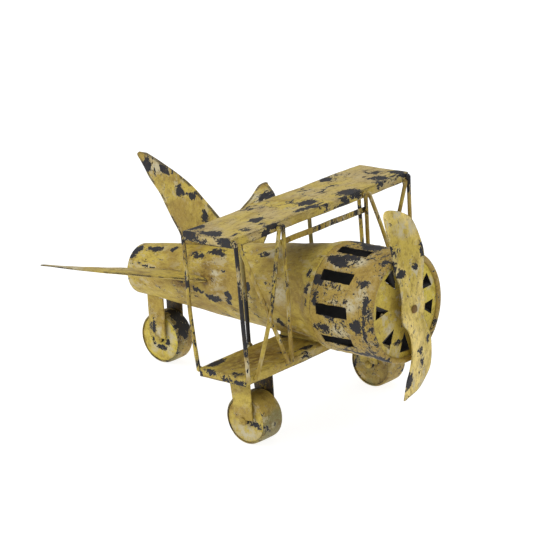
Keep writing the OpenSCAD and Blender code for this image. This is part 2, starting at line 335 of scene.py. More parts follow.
def wire_piece(name: str, points: Sequence[Vector], radius: float, wobble: float) -> bpy.types.Object:
    """Round rod along a path, bent a little out of true.

    Args:
        name: name of the new object.
        points: the path.
        radius: the rod's radius.
        wobble: how far it strays from its path.

    Returns:
        The new object.
    """
    count = 14
    seed = Vector((7.0 * len(name), sum(map(ord, name)) * 0.37, 0))
    path = smooth_path(points, 14)
    rings = []
    for i, point in enumerate(path):
        after, before = path[min(i + 1, len(path) - 1)], path[max(i - 1, 0)]
        run = (after - before).normalized()
        side = run.cross(Vector((1, 0, 0))).normalized()
        ends = math.sin(math.pi * i / (len(path) - 1))
        stray = noise.noise_vector(point * 0.018 + seed) * wobble * ends
        swell = radius * (1 + 0.05 * noise.noise(point * 0.12 + seed))
        rings.append(circle_ring(point + stray, side, run.cross(side), swell, count))
    return swept(name, rings)


def strip(
    name: str,
    rows: Sequence[Vector],
    surface: Callable[[float, float], Vector],
    thickness: float,
    across: int = 10,
) -> bpy.types.Object:
    """Strip of sheet metal over a curved surface.

    Args:
        name: name of the new object.
        rows: the outline, each row a distance along the strip and its two edges across it.
        surface: gives the middle of the sheet from a distance along and a place across.
        thickness: thickness of the sheet.
        across: number of faces from edge to edge.

    Returns:
        The new object.
    """
    rings = []
    for along, low, high in rows:
        front, back = [], []
        for i in range(across + 1):
            place = low + (high - low) * i / across
            here = surface(along, place)
            normal = (surface(along + 0.1, place) - here).cross(surface(along, place + 0.1) - here)
            half = normal.normalized() * thickness / 2
            front.append(here + half)
            back.append(here - half)
        rings.append([*front, *reversed(back)])
    return swept(name, rings)


def lump(centre: Vector, size: Vector, seed: float) -> bpy.types.Object:
    """Bead of weld metal.

    Args:
        centre: its middle.
        size: its three half sizes.
        seed: changes its shape.

    Returns:
        The new object.
    """
    bpy.ops.object.select_all(action="DESELECT")
    bpy.ops.mesh.primitive_ico_sphere_add(subdivisions=4, radius=1)
    piece = active()
    for vertex in piece.data.vertices:
        rough = 1 + 0.16 * noise.noise(vertex.co * 1.7 + Vector((seed, 0, 0)))
        rough += 0.05 * noise.noise(vertex.co * 5 + Vector((0, seed, 0)))
        vertex.co = centre + Vector(c * s * rough for c, s in zip(vertex.co, size))
    return piece


def joined(pieces: Sequence[bpy.types.Object]) -> bpy.types.Object:
    """Joins objects into the first of them.

    Args:
        pieces: the objects.

    Returns:
        The first, which now holds them all.
    """
    pick_only(pieces[0])
    for piece in pieces[1:]:
        piece.select_set(True)
    bpy.ops.object.join()
    return active()


def modify(piece: bpy.types.Object, kind: str, **settings: object) -> None:
    """Adds a modifier and applies it.

    Args:
        piece: the object.
        kind: the modifier's type.
        settings: its settings by name.
    """
    pick_only(piece)
    modifier = piece.modifiers.new(kind.lower(), kind)
    for key, value in settings.items():
        setattr(modifier, key, value)
    bpy.ops.object.modifier_apply(modifier=modifier.name)


def everywhere(_: Vector) -> float:
    """Full strength at any point, for a skin that is dented all over.

    Args:
        _: the point, which makes no difference.

    Returns:
        One.
    """
    return 1.0


def dent(
    piece: bpy.types.Object,
    depth: float,
    size: float,
    seed: float,
    share: Callable[[Vector], float] = everywhere,
) -> None:
    """Waves a skin in and out along its normals, as beaten sheet is.

    Args:
        piece: the object.
        depth: greatest move.
        size: distance over which the skin goes in and out.
        seed: changes the pattern.
        share: strength of the waves at a point.
    """
    shift = Vector((seed, 2 * seed, -seed))
    normals = [v.normal.copy() for v in piece.data.vertices]
    for vertex, normal in zip(piece.data.vertices, normals):
        at = vertex.co / size + shift
        wave = noise.noise(at) + 0.4 * noise.noise(at * 2.3)
        vertex.co += normal * depth * wave * share(vertex.co)


def bulge(piece: bpy.types.Object, centre: Vector, reach: float, height: float) -> None:
    """Pushes one round bump out of a skin, or one dent into it.

    Args:
        piece: the object.
        centre: middle of the bump.
        reach: its radius.
        height: its height, negative for a dent.
    """
    normals = [v.normal.copy() for v in piece.data.vertices]
    for vertex, normal in zip(piece.data.vertices, normals):
        vertex.co += normal * height * math.exp(-2 * ((vertex.co - centre).length / reach) ** 2)


def slab(name: str, low: Vector, high: Vector, cuts: tuple[int, int, int]) -> bpy.types.Object:
    """Block between two corners, cut into a grid.

    Args:
        name: name of the new object.
        low: its lowest corner.
        high: its highest corner.
        cuts: number of pieces along each axis.

    Returns:
        The new object.
    """
    bpy.ops.object.select_all(action="DESELECT")
    bpy.ops.mesh.primitive_cube_add(size=1)
    piece = active()
    piece.name = name
    for vertex in piece.data.vertices:
        vertex.co = Vector(l + (h - l) * (c + 0.5) for c, l, h in zip(vertex.co, low, high))
    edit(piece)
    for axis, count in enumerate(cuts):
        if count > 1:
            choose(piece, "EDGE", lambda e: abs((e.verts[0].co - e.verts[1].co).normalized()[axis]) > 0.99)
            bpy.ops.mesh.subdivide(number_cuts=count - 1)
    leave_edit()
    return piece


def face_outwards(piece: bpy.types.Object) -> None:
    """Merges doubles and turns all faces outwards.

    Args:
        piece: the object.
    """
    edit(piece)
    bpy.ops.mesh.select_all(action="SELECT")
    bpy.ops.mesh.remove_doubles(threshold=0.0005)
    bpy.ops.mesh.normals_make_consistent(inside=False)
    leave_edit()


# ---------------------------------------------------------------- shader writing


class Graph:
    """Writes shader nodes into one tree, a call for each step of a recipe."""

    def __init__(self, tree: bpy.types.NodeTree) -> None:
        """Keeps the tree.

        Args:
            tree: the material's tree or a group's.
        """
        self.tree = tree

    def add(self, kind: str, **settings: object) -> Node:
        """Adds a node.

        Args:
            kind: its type, without the leading ShaderNode.
            settings: its settings by name.

        Returns:
            The node.
        """
        node = self.tree.nodes.new(kind if kind.startswith("Node") else "ShaderNode" + kind)
        for key, value in settings.items():
            setattr(node, key, value)
        return node

    def feed(self, target: Socket, value: object) -> None:
        """Links a socket to a target, or sets the target to a plain value.

        Args:
            target: an input.
            value: a socket, a number, a vector or a colour.
        """
        if isinstance(value, bpy.types.NodeSocket):
            self.tree.links.new(value, target)
        else:
            target.default_value = value

    def math(self, operation: str, a: object, b: object = 0.0, clamp: bool = False) -> Socket:
        """Arithmetic on two numbers.

        Args:
            operation: the node's operation.
            a: first number or socket.
            b: second number or socket.
            clamp: whether the result is kept within 0 and 1.

        Returns:
            The result.
        """
        node = self.add("Math", operation=operation, use_clamp=clamp)
        self.feed(node.inputs[0], a)
        self.feed(node.inputs[1], b)
        return node.outputs[0]

    def vector(self, operation: str, a: object, b: object) -> Socket:
        """Arithmetic on two vectors.

        Args:
            operation: the node's operation.
            a: first vector or socket.
            b: second vector or socket.

        Returns:
            The result, a number for a dot product.
        """
        node = self.add("VectorMath", operation=operation)
        self.feed(node.inputs[0], a)
        self.feed(node.inputs[1], b)
        return node.outputs["Value" if operation == "DOT_PRODUCT" else "Vector"]

    def noise(
        self, place: Socket, per_mm: object, detail: float, rough: float, warp: float = 0.0
    ) -> Socket:
        """Cloudy noise between 0 and 1.

        Args:
            place: the point, in millimetres.
            per_mm: features in each millimetre.
            detail: number of finer layers.
            rough: strength of the finer layers.
            warp: how far the pattern is twisted.

        Returns:
            The noise.
        """
        node = self.add("TexNoise")
        self.feed(node.inputs["Vector"], place)
        self.feed(node.inputs["Scale"], per_mm)
        node.inputs["Detail"].default_value = detail
        node.inputs["Roughness"].default_value = rough
        node.inputs["Distortion"].default_value = warp
        return node.outputs["Fac"]

    def ramp(self, value: object, low: object, high: object) -> Socket:
        """Soft step from 0 to 1.

        Args:
            value: the number that is tested.
            low: where the step starts.
            high: where it ends.

        Returns:
            The step.
        """
        node = self.add("MapRange", interpolation_type="SMOOTHSTEP")
        self.feed(node.inputs["Value"], value)
        self.feed(node.inputs["From Min"], low)
        self.feed(node.inputs["From Max"], high)
        return node.outputs["Result"]

    def mix(self, share: object, a: object, b: object, way: str = "MIX") -> Socket:
        """Mixes two colours.

        Args:
            share: how much of the second colour.
            a: first colour.
            b: second colour.
            way: the blend type.

        Returns:
            The colour.
        """
        node = self.add("Mix", data_type="RGBA", blend_type=way)
        self.feed(node.inputs[0], share)
        self.feed(node.inputs[6], a)
        self.feed(node.inputs[7], b)
        return node.outputs[2]


def colour(red: int, green: int, blue: int) -> tuple[float, float, float, float]:
    """Colour for a shader from the 0 to 255 values of a paint chart.

    Args:
        red: red.
        green: green.
        blue: blue.

    Returns:
        Linear red, green, blue and alpha.
    """
    def linear(value: int) -> float:
        """Linear light of one channel.

        Args:
            value: the channel, 0 to 255.

        Returns:
            The light, 0 to 1.
        """
        share = value / 255
        return share / 12.92 if share <= 0.04045 else ((share + 0.055) / 1.055) ** 2.4

    return linear(red), linear(green), linear(blue), 1.0


@dataclass(frozen=True)
class Patch:
    """A spot that is worn more than the rest.

    Attributes:
        centre: its middle, in millimetres in the airframe's frame.
        half: its three half sizes in millimetres.
        strength: how strongly it is worn.
    """

    centre: tuple[float, float, float]
    half: tuple[float, float, float]
    strength: float = 1.0


def patch_group() -> bpy.types.NodeTree:
    """Shader group that masks one soft-edged spot.

    Returns:
        The group, with the mask in its output.
    """
    tree = bpy.data.node_groups.new("worn_spot", "ShaderNodeTree")
    for name in ("Place", "Centre", "Half Size"):
        tree.interface.new_socket(name=name, in_out="INPUT", socket_type="NodeSocketVector")
    tree.interface.new_socket(name="Strength", in_out="INPUT", socket_type="NodeSocketFloat")
    tree.interface.new_socket(name="Others", in_out="INPUT", socket_type="NodeSocketFloat")
    tree.interface.new_socket(name="Mask", in_out="OUTPUT", socket_type="NodeSocketFloat")
    g = Graph(tree)
    given = g.add("NodeGroupInput").outputs
    away = g.vector("SUBTRACT", given["Place"], given["Centre"])
    share = g.vector("DIVIDE", away, given["Half Size"])
    far = g.math("SQRT", g.vector("DOT_PRODUCT", share, share))
    mask = g.math("SUBTRACT", 1.0, g.ramp(far, 0.25, 1.45))
    mask = g.math("MULTIPLY", mask, given["Strength"])
    g.feed(g.add("NodeGroupOutput").inputs["Mask"], g.math("MAXIMUM", mask, given["Others"]))
    return tree


GROUP_INPUTS = (
    ("Place", "NodeSocketVector", (0, 0, 0)),
    ("Edge", "NodeSocketFloat", 0.0),
    ("Main", "NodeSocketColor", (1, 1, 1, 1)),
    ("Second", "NodeSocketColor", (1, 1, 1, 1)),
    ("Grime Colour", "NodeSocketColor", (1, 1, 1, 1)),
    ("Scuff Colour", "NodeSocketColor", (1, 1, 1, 1)),
    ("Undercoat", "NodeSocketColor", (1, 1, 1, 1)),
    ("Grain", "NodeSocketVector", (1, 1, 1)),
    ("Chip Size", "NodeSocketFloat", 12.0),
    ("Chips", "NodeSocketFloat", 0.4),
    ("Edge Chips", "NodeSocketFloat", 0.5),
    ("Specks", "NodeSocketFloat", 0.4),
    ("Scuffs", "NodeSocketFloat", 0.4),
    ("Grime", "NodeSocketFloat", 0.4),
    ("Bare Spots", "NodeSocketFloat", 0.0),
    ("Pale Spots", "NodeSocketFloat", 0.0),
    ("Stained Spots", "NodeSocketFloat", 0.0),
)
GROUP_OUTPUTS = (
    ("Colour", "NodeSocketColor"), ("Roughness", "NodeSocketFloat"), ("Height", "NodeSocketFloat"),
)
# noise that chips and dots need before they show, and how much less they need inside a worn spot
CHIP_NEED = 0.7
DOT_NEED = 0.84
SPOT_EASE = 0.24


def chipped_paint_group() -> bpy.types.NodeTree:
    """Shader group that wears enamel down to its dark undercoat.

    Returns:
        The group, with a colour, a roughness and a height in its outputs.
    """
    tree = bpy.data.node_groups.new("chipped_paint", "ShaderNodeTree")
    for name, kind, value in GROUP_INPUTS:
        tree.interface.new_socket(name=name, in_out="INPUT", socket_type=kind).default_value = value
    for name, kind in GROUP_OUTPUTS:
        tree.interface.new_socket(name=name, in_out="OUTPUT", socket_type=kind)
    g = Graph(tree)
    given = g.add("NodeGroupInput").outputs
    result = g.add("NodeGroupOutput").inputs
    place, edge = given["Place"], given["Edge"]

    # the coat: two colours that drift into each other, with dirt in the brush marks
    along = g.vector("MULTIPLY", place, given["Grain"])
    clusters = g.noise(place, 0.021, 3, 0.5)
    tone = g.ramp(g.noise(place, 0.016, 4, 0.62, 0.5), 0.4, 0.6)
    fine = g.noise(along, 0.2, 7, 0.72, 0.3)
    brush = g.noise(along, 0.75, 4, 0.65)
    coat = g.mix(tone, given["Main"], given["Second"])
    coat = g.mix(g.math("MULTIPLY", g.ramp(fine, 0.46, 0.68), 0.62), coat, given["Grime Colour"])
    coat = g.mix(g.math("MULTIPLY", g.ramp(brush, 0.52, 0.72), 0.5), coat, given["Grime Colour"])
    coat = g.mix(g.math("MULTIPLY", g.ramp(brush, 0.46, 0.3), 0.22), coat, given["Scuff Colour"])

    # smears of grime
    smears = g.ramp(g.noise(along, 0.04, 6, 0.7, 0.8), 0.48, 0.68)
    stains = g.math("MULTIPLY", smears, given["Grime"])
    spotty = g.math("MULTIPLY", given["Stained Spots"], g.ramp(fine, 0.3, 0.55))
    stains = g.math("MAXIMUM", stains, spotty, clamp=True)
    coat = g.mix(stains, coat, given["Grime Colour"])

    # patches that are rubbed pale
    rubbed = g.ramp(g.noise(along, 0.075, 8, 0.75), 0.54, 0.6)
    rubbed = g.math("MULTIPLY", rubbed, g.ramp(clusters, 0.36, 0.56))
    pale = g.math("MULTIPLY", rubbed, given["Scuffs"])
    scuffed = g.ramp(g.noise(along, 0.12, 7, 0.72), 0.4, 0.54)
    pale = g.math("MAXIMUM", pale, g.math("MULTIPLY", given["Pale Spots"], scuffed), clamp=True)
    coat = g.mix(pale, coat, given["Scuff Colour"])

    # chips: large ones, small ones beside them and dots, where the noise is over what is needed
    scale = g.math("DIVIDE", 1.0, given["Chip Size"])
    field = g.noise(along, scale, 8, 0.72, 0.35)
    small = g.noise(along, g.math("MULTIPLY", scale, 3.3), 5, 0.68)
    chipping = g.math("MULTIPLY", given["Chips"], g.ramp(clusters, 0.3, 0.62))
    need = g.math("SUBTRACT", CHIP_NEED, chipping)
    rim_breaks = g.ramp(g.noise(place, 0.06, 4, 0.6), 0.42, 0.54)
    worn_edge = g.math("MULTIPLY", g.math("MULTIPLY", edge, given["Edge Chips"]), rim_breaks)
    need = g.math("SUBTRACT", need, worn_edge)
    need = g.math("SUBTRACT", need, g.math("MULTIPLY", given["Bare Spots"], SPOT_EASE))
    chips = g.ramp(field, need, g.math("ADD", need, 0.012))
    chip_edge_highlight = g.ramp(field, g.math("SUBTRACT", need, 0.025), need)
    small_need = g.math("ADD", need, 0.03)
    chips = g.math("MAXIMUM", chips, g.ramp(small, small_need, g.math("ADD", small_need, 0.015)))
    dots = g.noise(along, 0.33, 4, 0.6)
    speckling = g.math("MULTIPLY", given["Specks"], g.ramp(clusters, 0.35, 0.65))
    dot_need = g.math("SUBTRACT", DOT_NEED, speckling)
    bare = g.math("MAXIMUM", chips, g.ramp(dots, dot_need, g.math("ADD", dot_need, 0.02)))

    # what shows: the coat with a pale rim round each chip, painted as a highlight on the enamel's broken edge, or
    # the stained undercoat
    coat = g.mix(g.math("MULTIPLY", chip_edge_highlight, 0.45), coat, given["Scuff Colour"])
    stain = g.math("MULTIPLY", g.ramp(fine, 0.5, 0.75), 0.3)
    under = g.mix(stain, given["Undercoat"], given["Grime Colour"])
    g.feed(result["Colour"], g.mix(bare, coat, under))

    # how dull and how high it is
    dull = g.math("ADD", 0.48, g.math("MULTIPLY", fine, 0.2))
    dull = g.math("ADD", dull, g.math("MULTIPLY", pale, 0.2))
    g.feed(result["Roughness"], g.math("ADD", dull, g.math("MULTIPLY", bare, 0.08), clamp=True))
    brushed = g.math("MULTIPLY", brush, 0.3)
    height = g.math("SUBTRACT", g.math("ADD", brushed, g.math("MULTIPLY", fine, 0.5)), bare)
    g.feed(result["Height"], height)
    return tree


MUSTARD = colour(186, 164, 68)
OCHRE = colour(160, 135, 55)
STRAW = colour(168, 143, 64)
BRONZE = colour(156, 130, 54)
LEMON = colour(204, 186, 66)
KHAKI = colour(178, 158, 102)
HONEY = colour(226, 202, 118)
BROWN = colour(106, 80, 28)
OLIVE = colour(118, 112, 66)
BONE = colour(184, 174, 142)
BLUE_BLACK = colour(31, 31, 35)
RUST = colour(108, 62, 38)
# near black that paints shade: inside the cowl and the wheels, under the wings and on the far fork legs
SHADE_BLACK = colour(17, 16, 16)


@dataclass(frozen=True)
class ChippedPaint:
    """Old enamel over a dark undercoat.

    Attributes:
        name: name of the material.
        main: commonest colour of the coat.
        second: colour that it drifts to.
        grime: colour of smears.
        scuff: colour of rubbed patches.
        undercoat: colour in the chips.
        chips: how much of the face is chipped.
        edge_chips: how much of the edges is chipped.
        specks: how many small dots show.
        scuffs: strength of rubbed patches.
        smears: strength of smears.
        chip_size: size of the chips in millimetres.
        grain: stretch of chips and scuffs, small along their length.
        edge_width: width of worn edges in millimetres.
        ragged: how far the outline of a spot strays, in millimetres.
        seed: moves the pattern.
        bare_spots: spots where more of the undercoat shows.
        pale_spots: spots that are rubbed pale.
        stained_spots: spots that are smeared with grime.
    """

    name: str
    main: tuple[float, ...] = MUSTARD
    second: tuple[float, ...] = OCHRE
    grime: tuple[float, ...] = BROWN
    scuff: tuple[float, ...] = BONE
    undercoat: tuple[float, ...] = BLUE_BLACK
    chips: float = 0.16
    edge_chips: float = 0.3
    specks: float = 0.2
    scuffs: float = 0.5
    smears: float = 0.45
    chip_size: float = 16.0
    grain: tuple[float, float, float] = (1.0, 1.0, 1.0)
    edge_width: float = 1.5
    ragged: float = 16.0
    seed: float = 0.0
    bare_spots: tuple[Patch, ...] = ()
    pale_spots: tuple[Patch, ...] = ()
    stained_spots: tuple[Patch, ...] = ()

    def build(self, group: bpy.types.NodeTree, spot: bpy.types.NodeTree) -> bpy.types.Material:
        """Makes the material.

        Args:
            group: the shader group of chipped paint.
            spot: the shader group of a worn spot.

        Returns:
            The material.
        """
        made = bpy.data.materials.new(self.name)
        made.use_nodes = True
        g = Graph(made.node_tree)
        surface = made.node_tree.nodes["Principled BSDF"]
        local = g.add("TexCoord").outputs["Object"]
        place = g.vector("MULTIPLY", local, (1 / MM, 1 / MM, 1 / MM))
        torn = g.add("TexNoise", noise_dimensions="3D")
        for name, value in (("Vector", place), ("Scale", 0.16), ("Detail", 5.0), ("Roughness", 0.7)):
            g.feed(torn.inputs[name], value)
        shift = g.vector("SUBTRACT", torn.outputs["Color"], (0.5, 0.5, 0.5))
        ragged = g.vector("ADD", place, g.vector("MULTIPLY", shift, (self.ragged,) * 3))
        masks = [0.0, 0.0, 0.0]
        for i, patches in enumerate((self.bare_spots, self.pale_spots, self.stained_spots)):
            for patch in patches:
                centre = AIRFRAME.matrix @ Vector(patch.centre) / MM
                masked = g.add("Group", node_tree=spot)
                for name, value in zip(
                    ("Place", "Centre", "Half Size", "Strength", "Others"),
                    (ragged, centre, patch.half, patch.strength, masks[i]),
                ):
                    g.feed(masked.inputs[name], value)
                masks[i] = masked.outputs["Mask"]
        place = g.vector("ADD", place, (self.seed, 2 * self.seed, 0))
        rounded = g.add("Bevel", samples=4)
        rounded.inputs["Radius"].default_value = self.edge_width * MM
        true_normal = g.add("NewGeometry").outputs["Normal"]
        flat = g.vector("DOT_PRODUCT", rounded.outputs["Normal"], true_normal)
        edge = g.ramp(g.math("SUBTRACT", 1.0, flat), 0.01, 0.22)
        worn = g.add("Group", node_tree=group)
        values = (
            place, edge, self.main, self.second, self.grime, self.scuff, self.undercoat, self.grain,
            self.chip_size, self.chips, self.edge_chips, self.specks, self.scuffs, self.smears, *masks,
        )
        for (name, _, _), value in zip(GROUP_INPUTS, values):
            g.feed(worn.inputs[name], value)
        g.feed(surface.inputs["Base Color"], worn.outputs["Colour"])
        g.feed(surface.inputs["Roughness"], worn.outputs["Roughness"])
        bump = g.add("Bump")
        bump.inputs["Distance"].default_value = 0.25 * MM
        bump.inputs["Strength"].default_value = 0.7
        g.feed(bump.inputs["Height"], worn.outputs["Height"])
        g.feed(surface.inputs["Normal"], bump.outputs["Normal"])
        surface.inputs["Specular IOR Level"].default_value = 0.35
        return made


def spots(*rows: tuple[float, ...]) -> tuple[Patch, ...]:
    """Worn spots from rows of six numbers.

    Args:
        rows: each the middle of a spot and its three half sizes.

    Returns:
        The spots.
    """
    return tuple(Patch(row[:3], row[3:6]) for row in rows)


# Where the enamel is worn most: the middle and the three half sizes of each spot, in millimetres.
FUSELAGE_CHIPS = spots(
    (-238, -14, 21, 8, 10, 8), (-211, -12, 27, 14, 6, 5), (-179, -13, 32, 8, 5, 5),
    # the long thin spot at x -193 along the right stabiliser's root is worn paint with the shadow under the joint
    # painted in
    (-193, -31, 9, 26, 5, 1.8), (-106, -20, 40, 24, 7, 4), (-135, -22, 34, 18, 6, 2.5),
    (-33, -23, 49, 16, 5, 3), (-100, -40, -6, 16, 7, 5), (-72, -44, 1, 8, 6, 9),
    (-123, -39, 0, 10, 5, 3), (-42, -46, 16, 6, 5, 8), (4, -44, -16, 10, 7, 7),
    (51, -55, 33, 4, 6, 9), (48, -46, 48, 4, 6, 6), (52, -58, 18, 3, 6, 6),
)
COWL_CHIPS = spots(
    (74, 12, 69, 14, 9, 5), (100, 4, 71, 16, 12, 5), (74, -29, 62, 14, 6, 4),
    (92, -25, 65, 14, 5, 4), (84, -35, 60, 14, 4, 4), (124, -47, 47, 12, 6, 5),
    (74, -57, -6, 10, 8, 7), (122, -60, 3, 7, 7, 9), (114, -40, -36, 26, 8, 4),
    (134, -56, 12, 3, 8, 22), (136, -35, -38, 8, 14, 6), (137, -25, 61, 5, 9, 6),
    (66, -58, 24, 5, 8, 8), (64, -50, 44, 5, 7, 5),
)
COWL_SCUFFS = spots(
    (82, -32, 61, 18, 12, 9), (104, -28, 64, 14, 9, 8), (112, -58, 24, 12, 9, 9),
    (128, -52, 34, 10, 9, 12), (95, -58, -6, 16, 8, 7),
)
UPPER_WING_CHIPS = spots(
    (28, 50, 108, 13, 17, 8), (34, 36, 104, 5, 14, 8), (28, -22, 110, 6, 26, 8),
    (22, 111, 110, 13, 12, 8), (0, 129, 110, 13, 10, 8), (24, 143, 110, 9, 7, 8),
    (33, 98, 108, 6, 8, 8), (9, -80, 110, 8, 10, 8), (14, 0, 110, 8, 12, 8),
    (-31, -133, 110, 6, 12, 8), (-2, -142, 110, 16, 7, 8), (-27, -150, 107, 12, 3, 8),
    (24, -150, 106, 13, 3, 8), (34, -96, 102, 3, 7, 8), (-28, 80, 110, 9, 8, 8),
    (20, -112, 110, 8, 8, 8),
)
LOWER_WING_CHIPS = spots(
    (-25, -121, -45, 8, 19, 8), (-14, -143, -47, 12, 5, 5), (19, -138, -45, 12, 7, 8),
    (9, -144, -51, 12, 4, 4), (26, -144, -53, 11, 4, 5), (-31, -144, -50, 6, 4, 5),
    (27, -31, -45, 6, 9, 8), (-20, -8, -45, 14, 12, 8), (33, -42, -50, 3, 12, 5),
    (12, -58, -45, 4, 5, 8),
)
PROPELLER_CHIPS = spots(
    (150, -23, 62, 12, 4, 9), (150, -14, 54, 12, 7, 5), (150, 5, 57, 12, 6, 4),
    (150, 19, 74, 12, 4, 13), (150, 10, -40, 12, 6, 6), (150, 16, -54, 12, 4, 7),
    (146, -11, -66, 14, 9, 12), (150, -26, 80, 12, 5, 8), (150, 27, -30, 12, 4, 8),
    (150, -28, 8, 12, 5, 6),
)
FIN_CHIPS = spots(
    (-225, 0, 122, 9, 8, 9), (-198, 0, 120, 7, 8, 5), (-176, 0, 98, 7, 8, 8),
    (-156, 0, 95, 6, 8, 5), (-140, 0, 72, 8, 8, 8), (-190, 160, 47, 14, 16, 10),
)
FIN_SCUFFS = spots((-214, 0, 122, 16, 8, 11), (-195, 160, 47, 20, 24, 12), (-200, -165, 50, 24, 22, 14))
WHEEL_CHIPS = spots(
    (25, -122, -107, 9, 10, 6), (-213, -12, -92, 9, 10, 4), (-224, -12, -85, 4, 10, 6),
    (-203, -12, -84, 4, 10, 7), (-191, 2, -62, 15, 12, 17), (-200, 4, -52, 14, 8, 8),
)
WHEEL_SCUFFS = spots(
    (10, -122, -119, 20, 9, 12), (-224, -12, -92, 7, 9, 7), (-200, -12, -94, 7, 9, 7),
    (-199, -12, -74, 8, 9, 12),
)


class Finish(Enum):
    """The finishes of the toy's pieces."""

    FUSELAGE = ChippedPaint(
        "fuselage_paint", MUSTARD, OCHRE, chips=0.1, specks=0.2, smears=0.6, scuffs=0.5, edge_chips=0.3,
        grain=(0.5, 1.0, 1.0), seed=11, bare_spots=FUSELAGE_CHIPS,
        pale_spots=spots((8, -50, 20, 14, 10, 14), (-18, -20, 52, 18, 9, 7), (-96, -38, 23, 9, 8, 4)),
        stained_spots=spots(
            (-108, -37, 14, 24, 10, 8), (-150, -36, 2, 26, 9, 6), (20, -40, -28, 30, 14, 12)))
    COWL = ChippedPaint(
        "cowl_paint", STRAW, BRONZE, chips=0.16, edge_chips=0.3, specks=0.2, scuffs=0.55, smears=0.45,
        chip_size=9, seed=37, bare_spots=COWL_CHIPS, pale_spots=COWL_SCUFFS)
    COWL_FACE = ChippedPaint(
        "cowl_face_paint", MUSTARD, LEMON, chips=0.08, edge_chips=0.25, specks=0.15, scuffs=0.8, smears=0.4,
        chip_size=10, seed=59,
        bare_spots=spots((141, -15, -25, 3, 9, 3), (141, -33, -21, 3, 8, 4), (141, -19, 45, 3, 6, 6)),
        pale_spots=spots((140, 44, 26, 6, 10, 8), (138, -28, -6, 6, 10, 8), (136, -18, -34, 8, 8, 8)))
    UPPER_WING = ChippedPaint(
        "upper_wing_paint", KHAKI, MUSTARD, chips=0.14, edge_chips=0.42, specks=0.2, scuffs=0.4, smears=0.4,
        chip_size=10, grain=(1.0, 0.42, 1.0), edge_width=2.6, seed=83, bare_spots=UPPER_WING_CHIPS)
    LOWER_WING = ChippedPaint(
        "lower_wing_paint", MUSTARD, OCHRE, chips=0.08, edge_chips=0.45, specks=0.14, scuffs=0.25,
        smears=0.7, chip_size=10, grain=(1.0, 0.5, 1.0), edge_width=2.6, seed=101,
        bare_spots=LOWER_WING_CHIPS,
        pale_spots=spots((33, -40, -50, 4, 16, 7)), stained_spots=spots((0, -90, -45, 30, 55, 9)))
    # near-black underside paint, partly painted shade: under the wings and on the far fork legs
    UNDERSIDE = ChippedPaint(
        "underside_paint", BLUE_BLACK, SHADE_BLACK, scuff=OCHRE, chips=0.05, edge_chips=0.0, specks=0.2,
        scuffs=0.9, smears=0.5, seed=113)
    FIN = ChippedPaint(
        "fin_paint", MUSTARD, OCHRE, chips=0.12, edge_chips=1.2, specks=0.18, scuffs=0.6, smears=0.6,
        chip_size=8, grain=(1.0, 0.5, 0.7), edge_width=5.0, seed=127,
        bare_spots=FIN_CHIPS, pale_spots=FIN_SCUFFS)
    WIRE = ChippedPaint(
        "wire_paint", MUSTARD, OCHRE, chips=0.19, edge_chips=0.0, specks=0.2, scuffs=1.0, smears=0.8,
        chip_size=8, grain=(1.0, 1.0, 0.35), seed=149,
        stained_spots=spots((37, -68, 101, 7, 10, 8), (37, 68, 101, 7, 10, 8), (37, -70, -44, 7, 10, 7)))
    DARK_WIRE = ChippedPaint(
        "dark_wire_paint", OCHRE, KHAKI, chips=0.3, edge_chips=0.0, specks=0.2, scuffs=1.0, smears=0.6,
        chip_size=10, grain=(1.0, 1.0, 0.3), seed=157,
        bare_spots=(Patch((37, -143, 28), (10, 12, 70), 0.7), Patch((37, -143, 90), (10, 12, 16), 0.7)),
        pale_spots=spots((37, -146, 96, 8, 8, 14), (37, -142, -34, 8, 8, 12), (35, -146, 30, 3, 6, 60)))
    # olive paint on the rear inner struts, painted shade for the greyish look they have in the wings' shadow
    FADED_WIRE = ChippedPaint(
        "faded_wire_paint", OLIVE, OCHRE, chips=0.14, edge_chips=0.0, specks=0.2, scuffs=0.8, smears=0.6,
        chip_size=8, grain=(1.0, 1.0, 0.35), seed=163, bare_spots=spots((-35, -58, -20, 8, 8, 30)))
    PROPELLER = ChippedPaint(
        "propeller_paint", HONEY, MUSTARD, chips=0.1, edge_chips=0.3, specks=0.14, scuffs=0.9, smears=0.4,
        chip_size=9, grain=(1.0, 1.0, 0.6), seed=181, bare_spots=PROPELLER_CHIPS,
        pale_spots=spots((150, -26, 60, 12, 7, 22), (150, 22, 50, 12, 6, 16), (150, 0, 100, 12, 18, 10)))
    WHEEL = ChippedPaint(
        "wheel_paint", LEMON, MUSTARD, chips=0.06, edge_chips=0.25, specks=0.12, scuffs=0.6, smears=0.3,
        chip_size=10, edge_width=0.8, seed=199, bare_spots=WHEEL_CHIPS, pale_spots=WHEEL_SCUFFS)
    MAIN_WHEEL = ChippedPaint(
        "main_wheel_paint", MUSTARD, OCHRE, chips=0.06, edge_chips=0.25, specks=0.12, scuffs=0.6,
        smears=0.4, chip_size=10, edge_width=0.8, seed=211, bare_spots=WHEEL_CHIPS, pale_spots=WHEEL_SCUFFS)
    TREAD = ChippedPaint(
        "tread_paint", OCHRE, OLIVE, chips=0.14, edge_chips=0.3, specks=0.2, scuffs=0.5, smears=0.8,
        chip_size=12, seed=223, bare_spots=WHEEL_CHIPS)
    FORK = ChippedPaint(
        "fork_paint", MUSTARD, OCHRE, chips=0.08, edge_chips=0.3, specks=0.15, scuffs=0.4, smears=0.6,
        chip_size=10, edge_width=0.8, seed=239, bare_spots=spots((-218, -16, -66, 4, 6, 12)),
        pale_spots=spots((-211, -16, -70, 4, 6, 10)))
    RUSTY = ChippedPaint(
        "rusty_iron", RUST, BROWN, scuff=KHAKI, chips=0.2, edge_chips=0.2, specks=0.3, scuffs=0.5,
        smears=0.8, chip_size=5, seed=251)
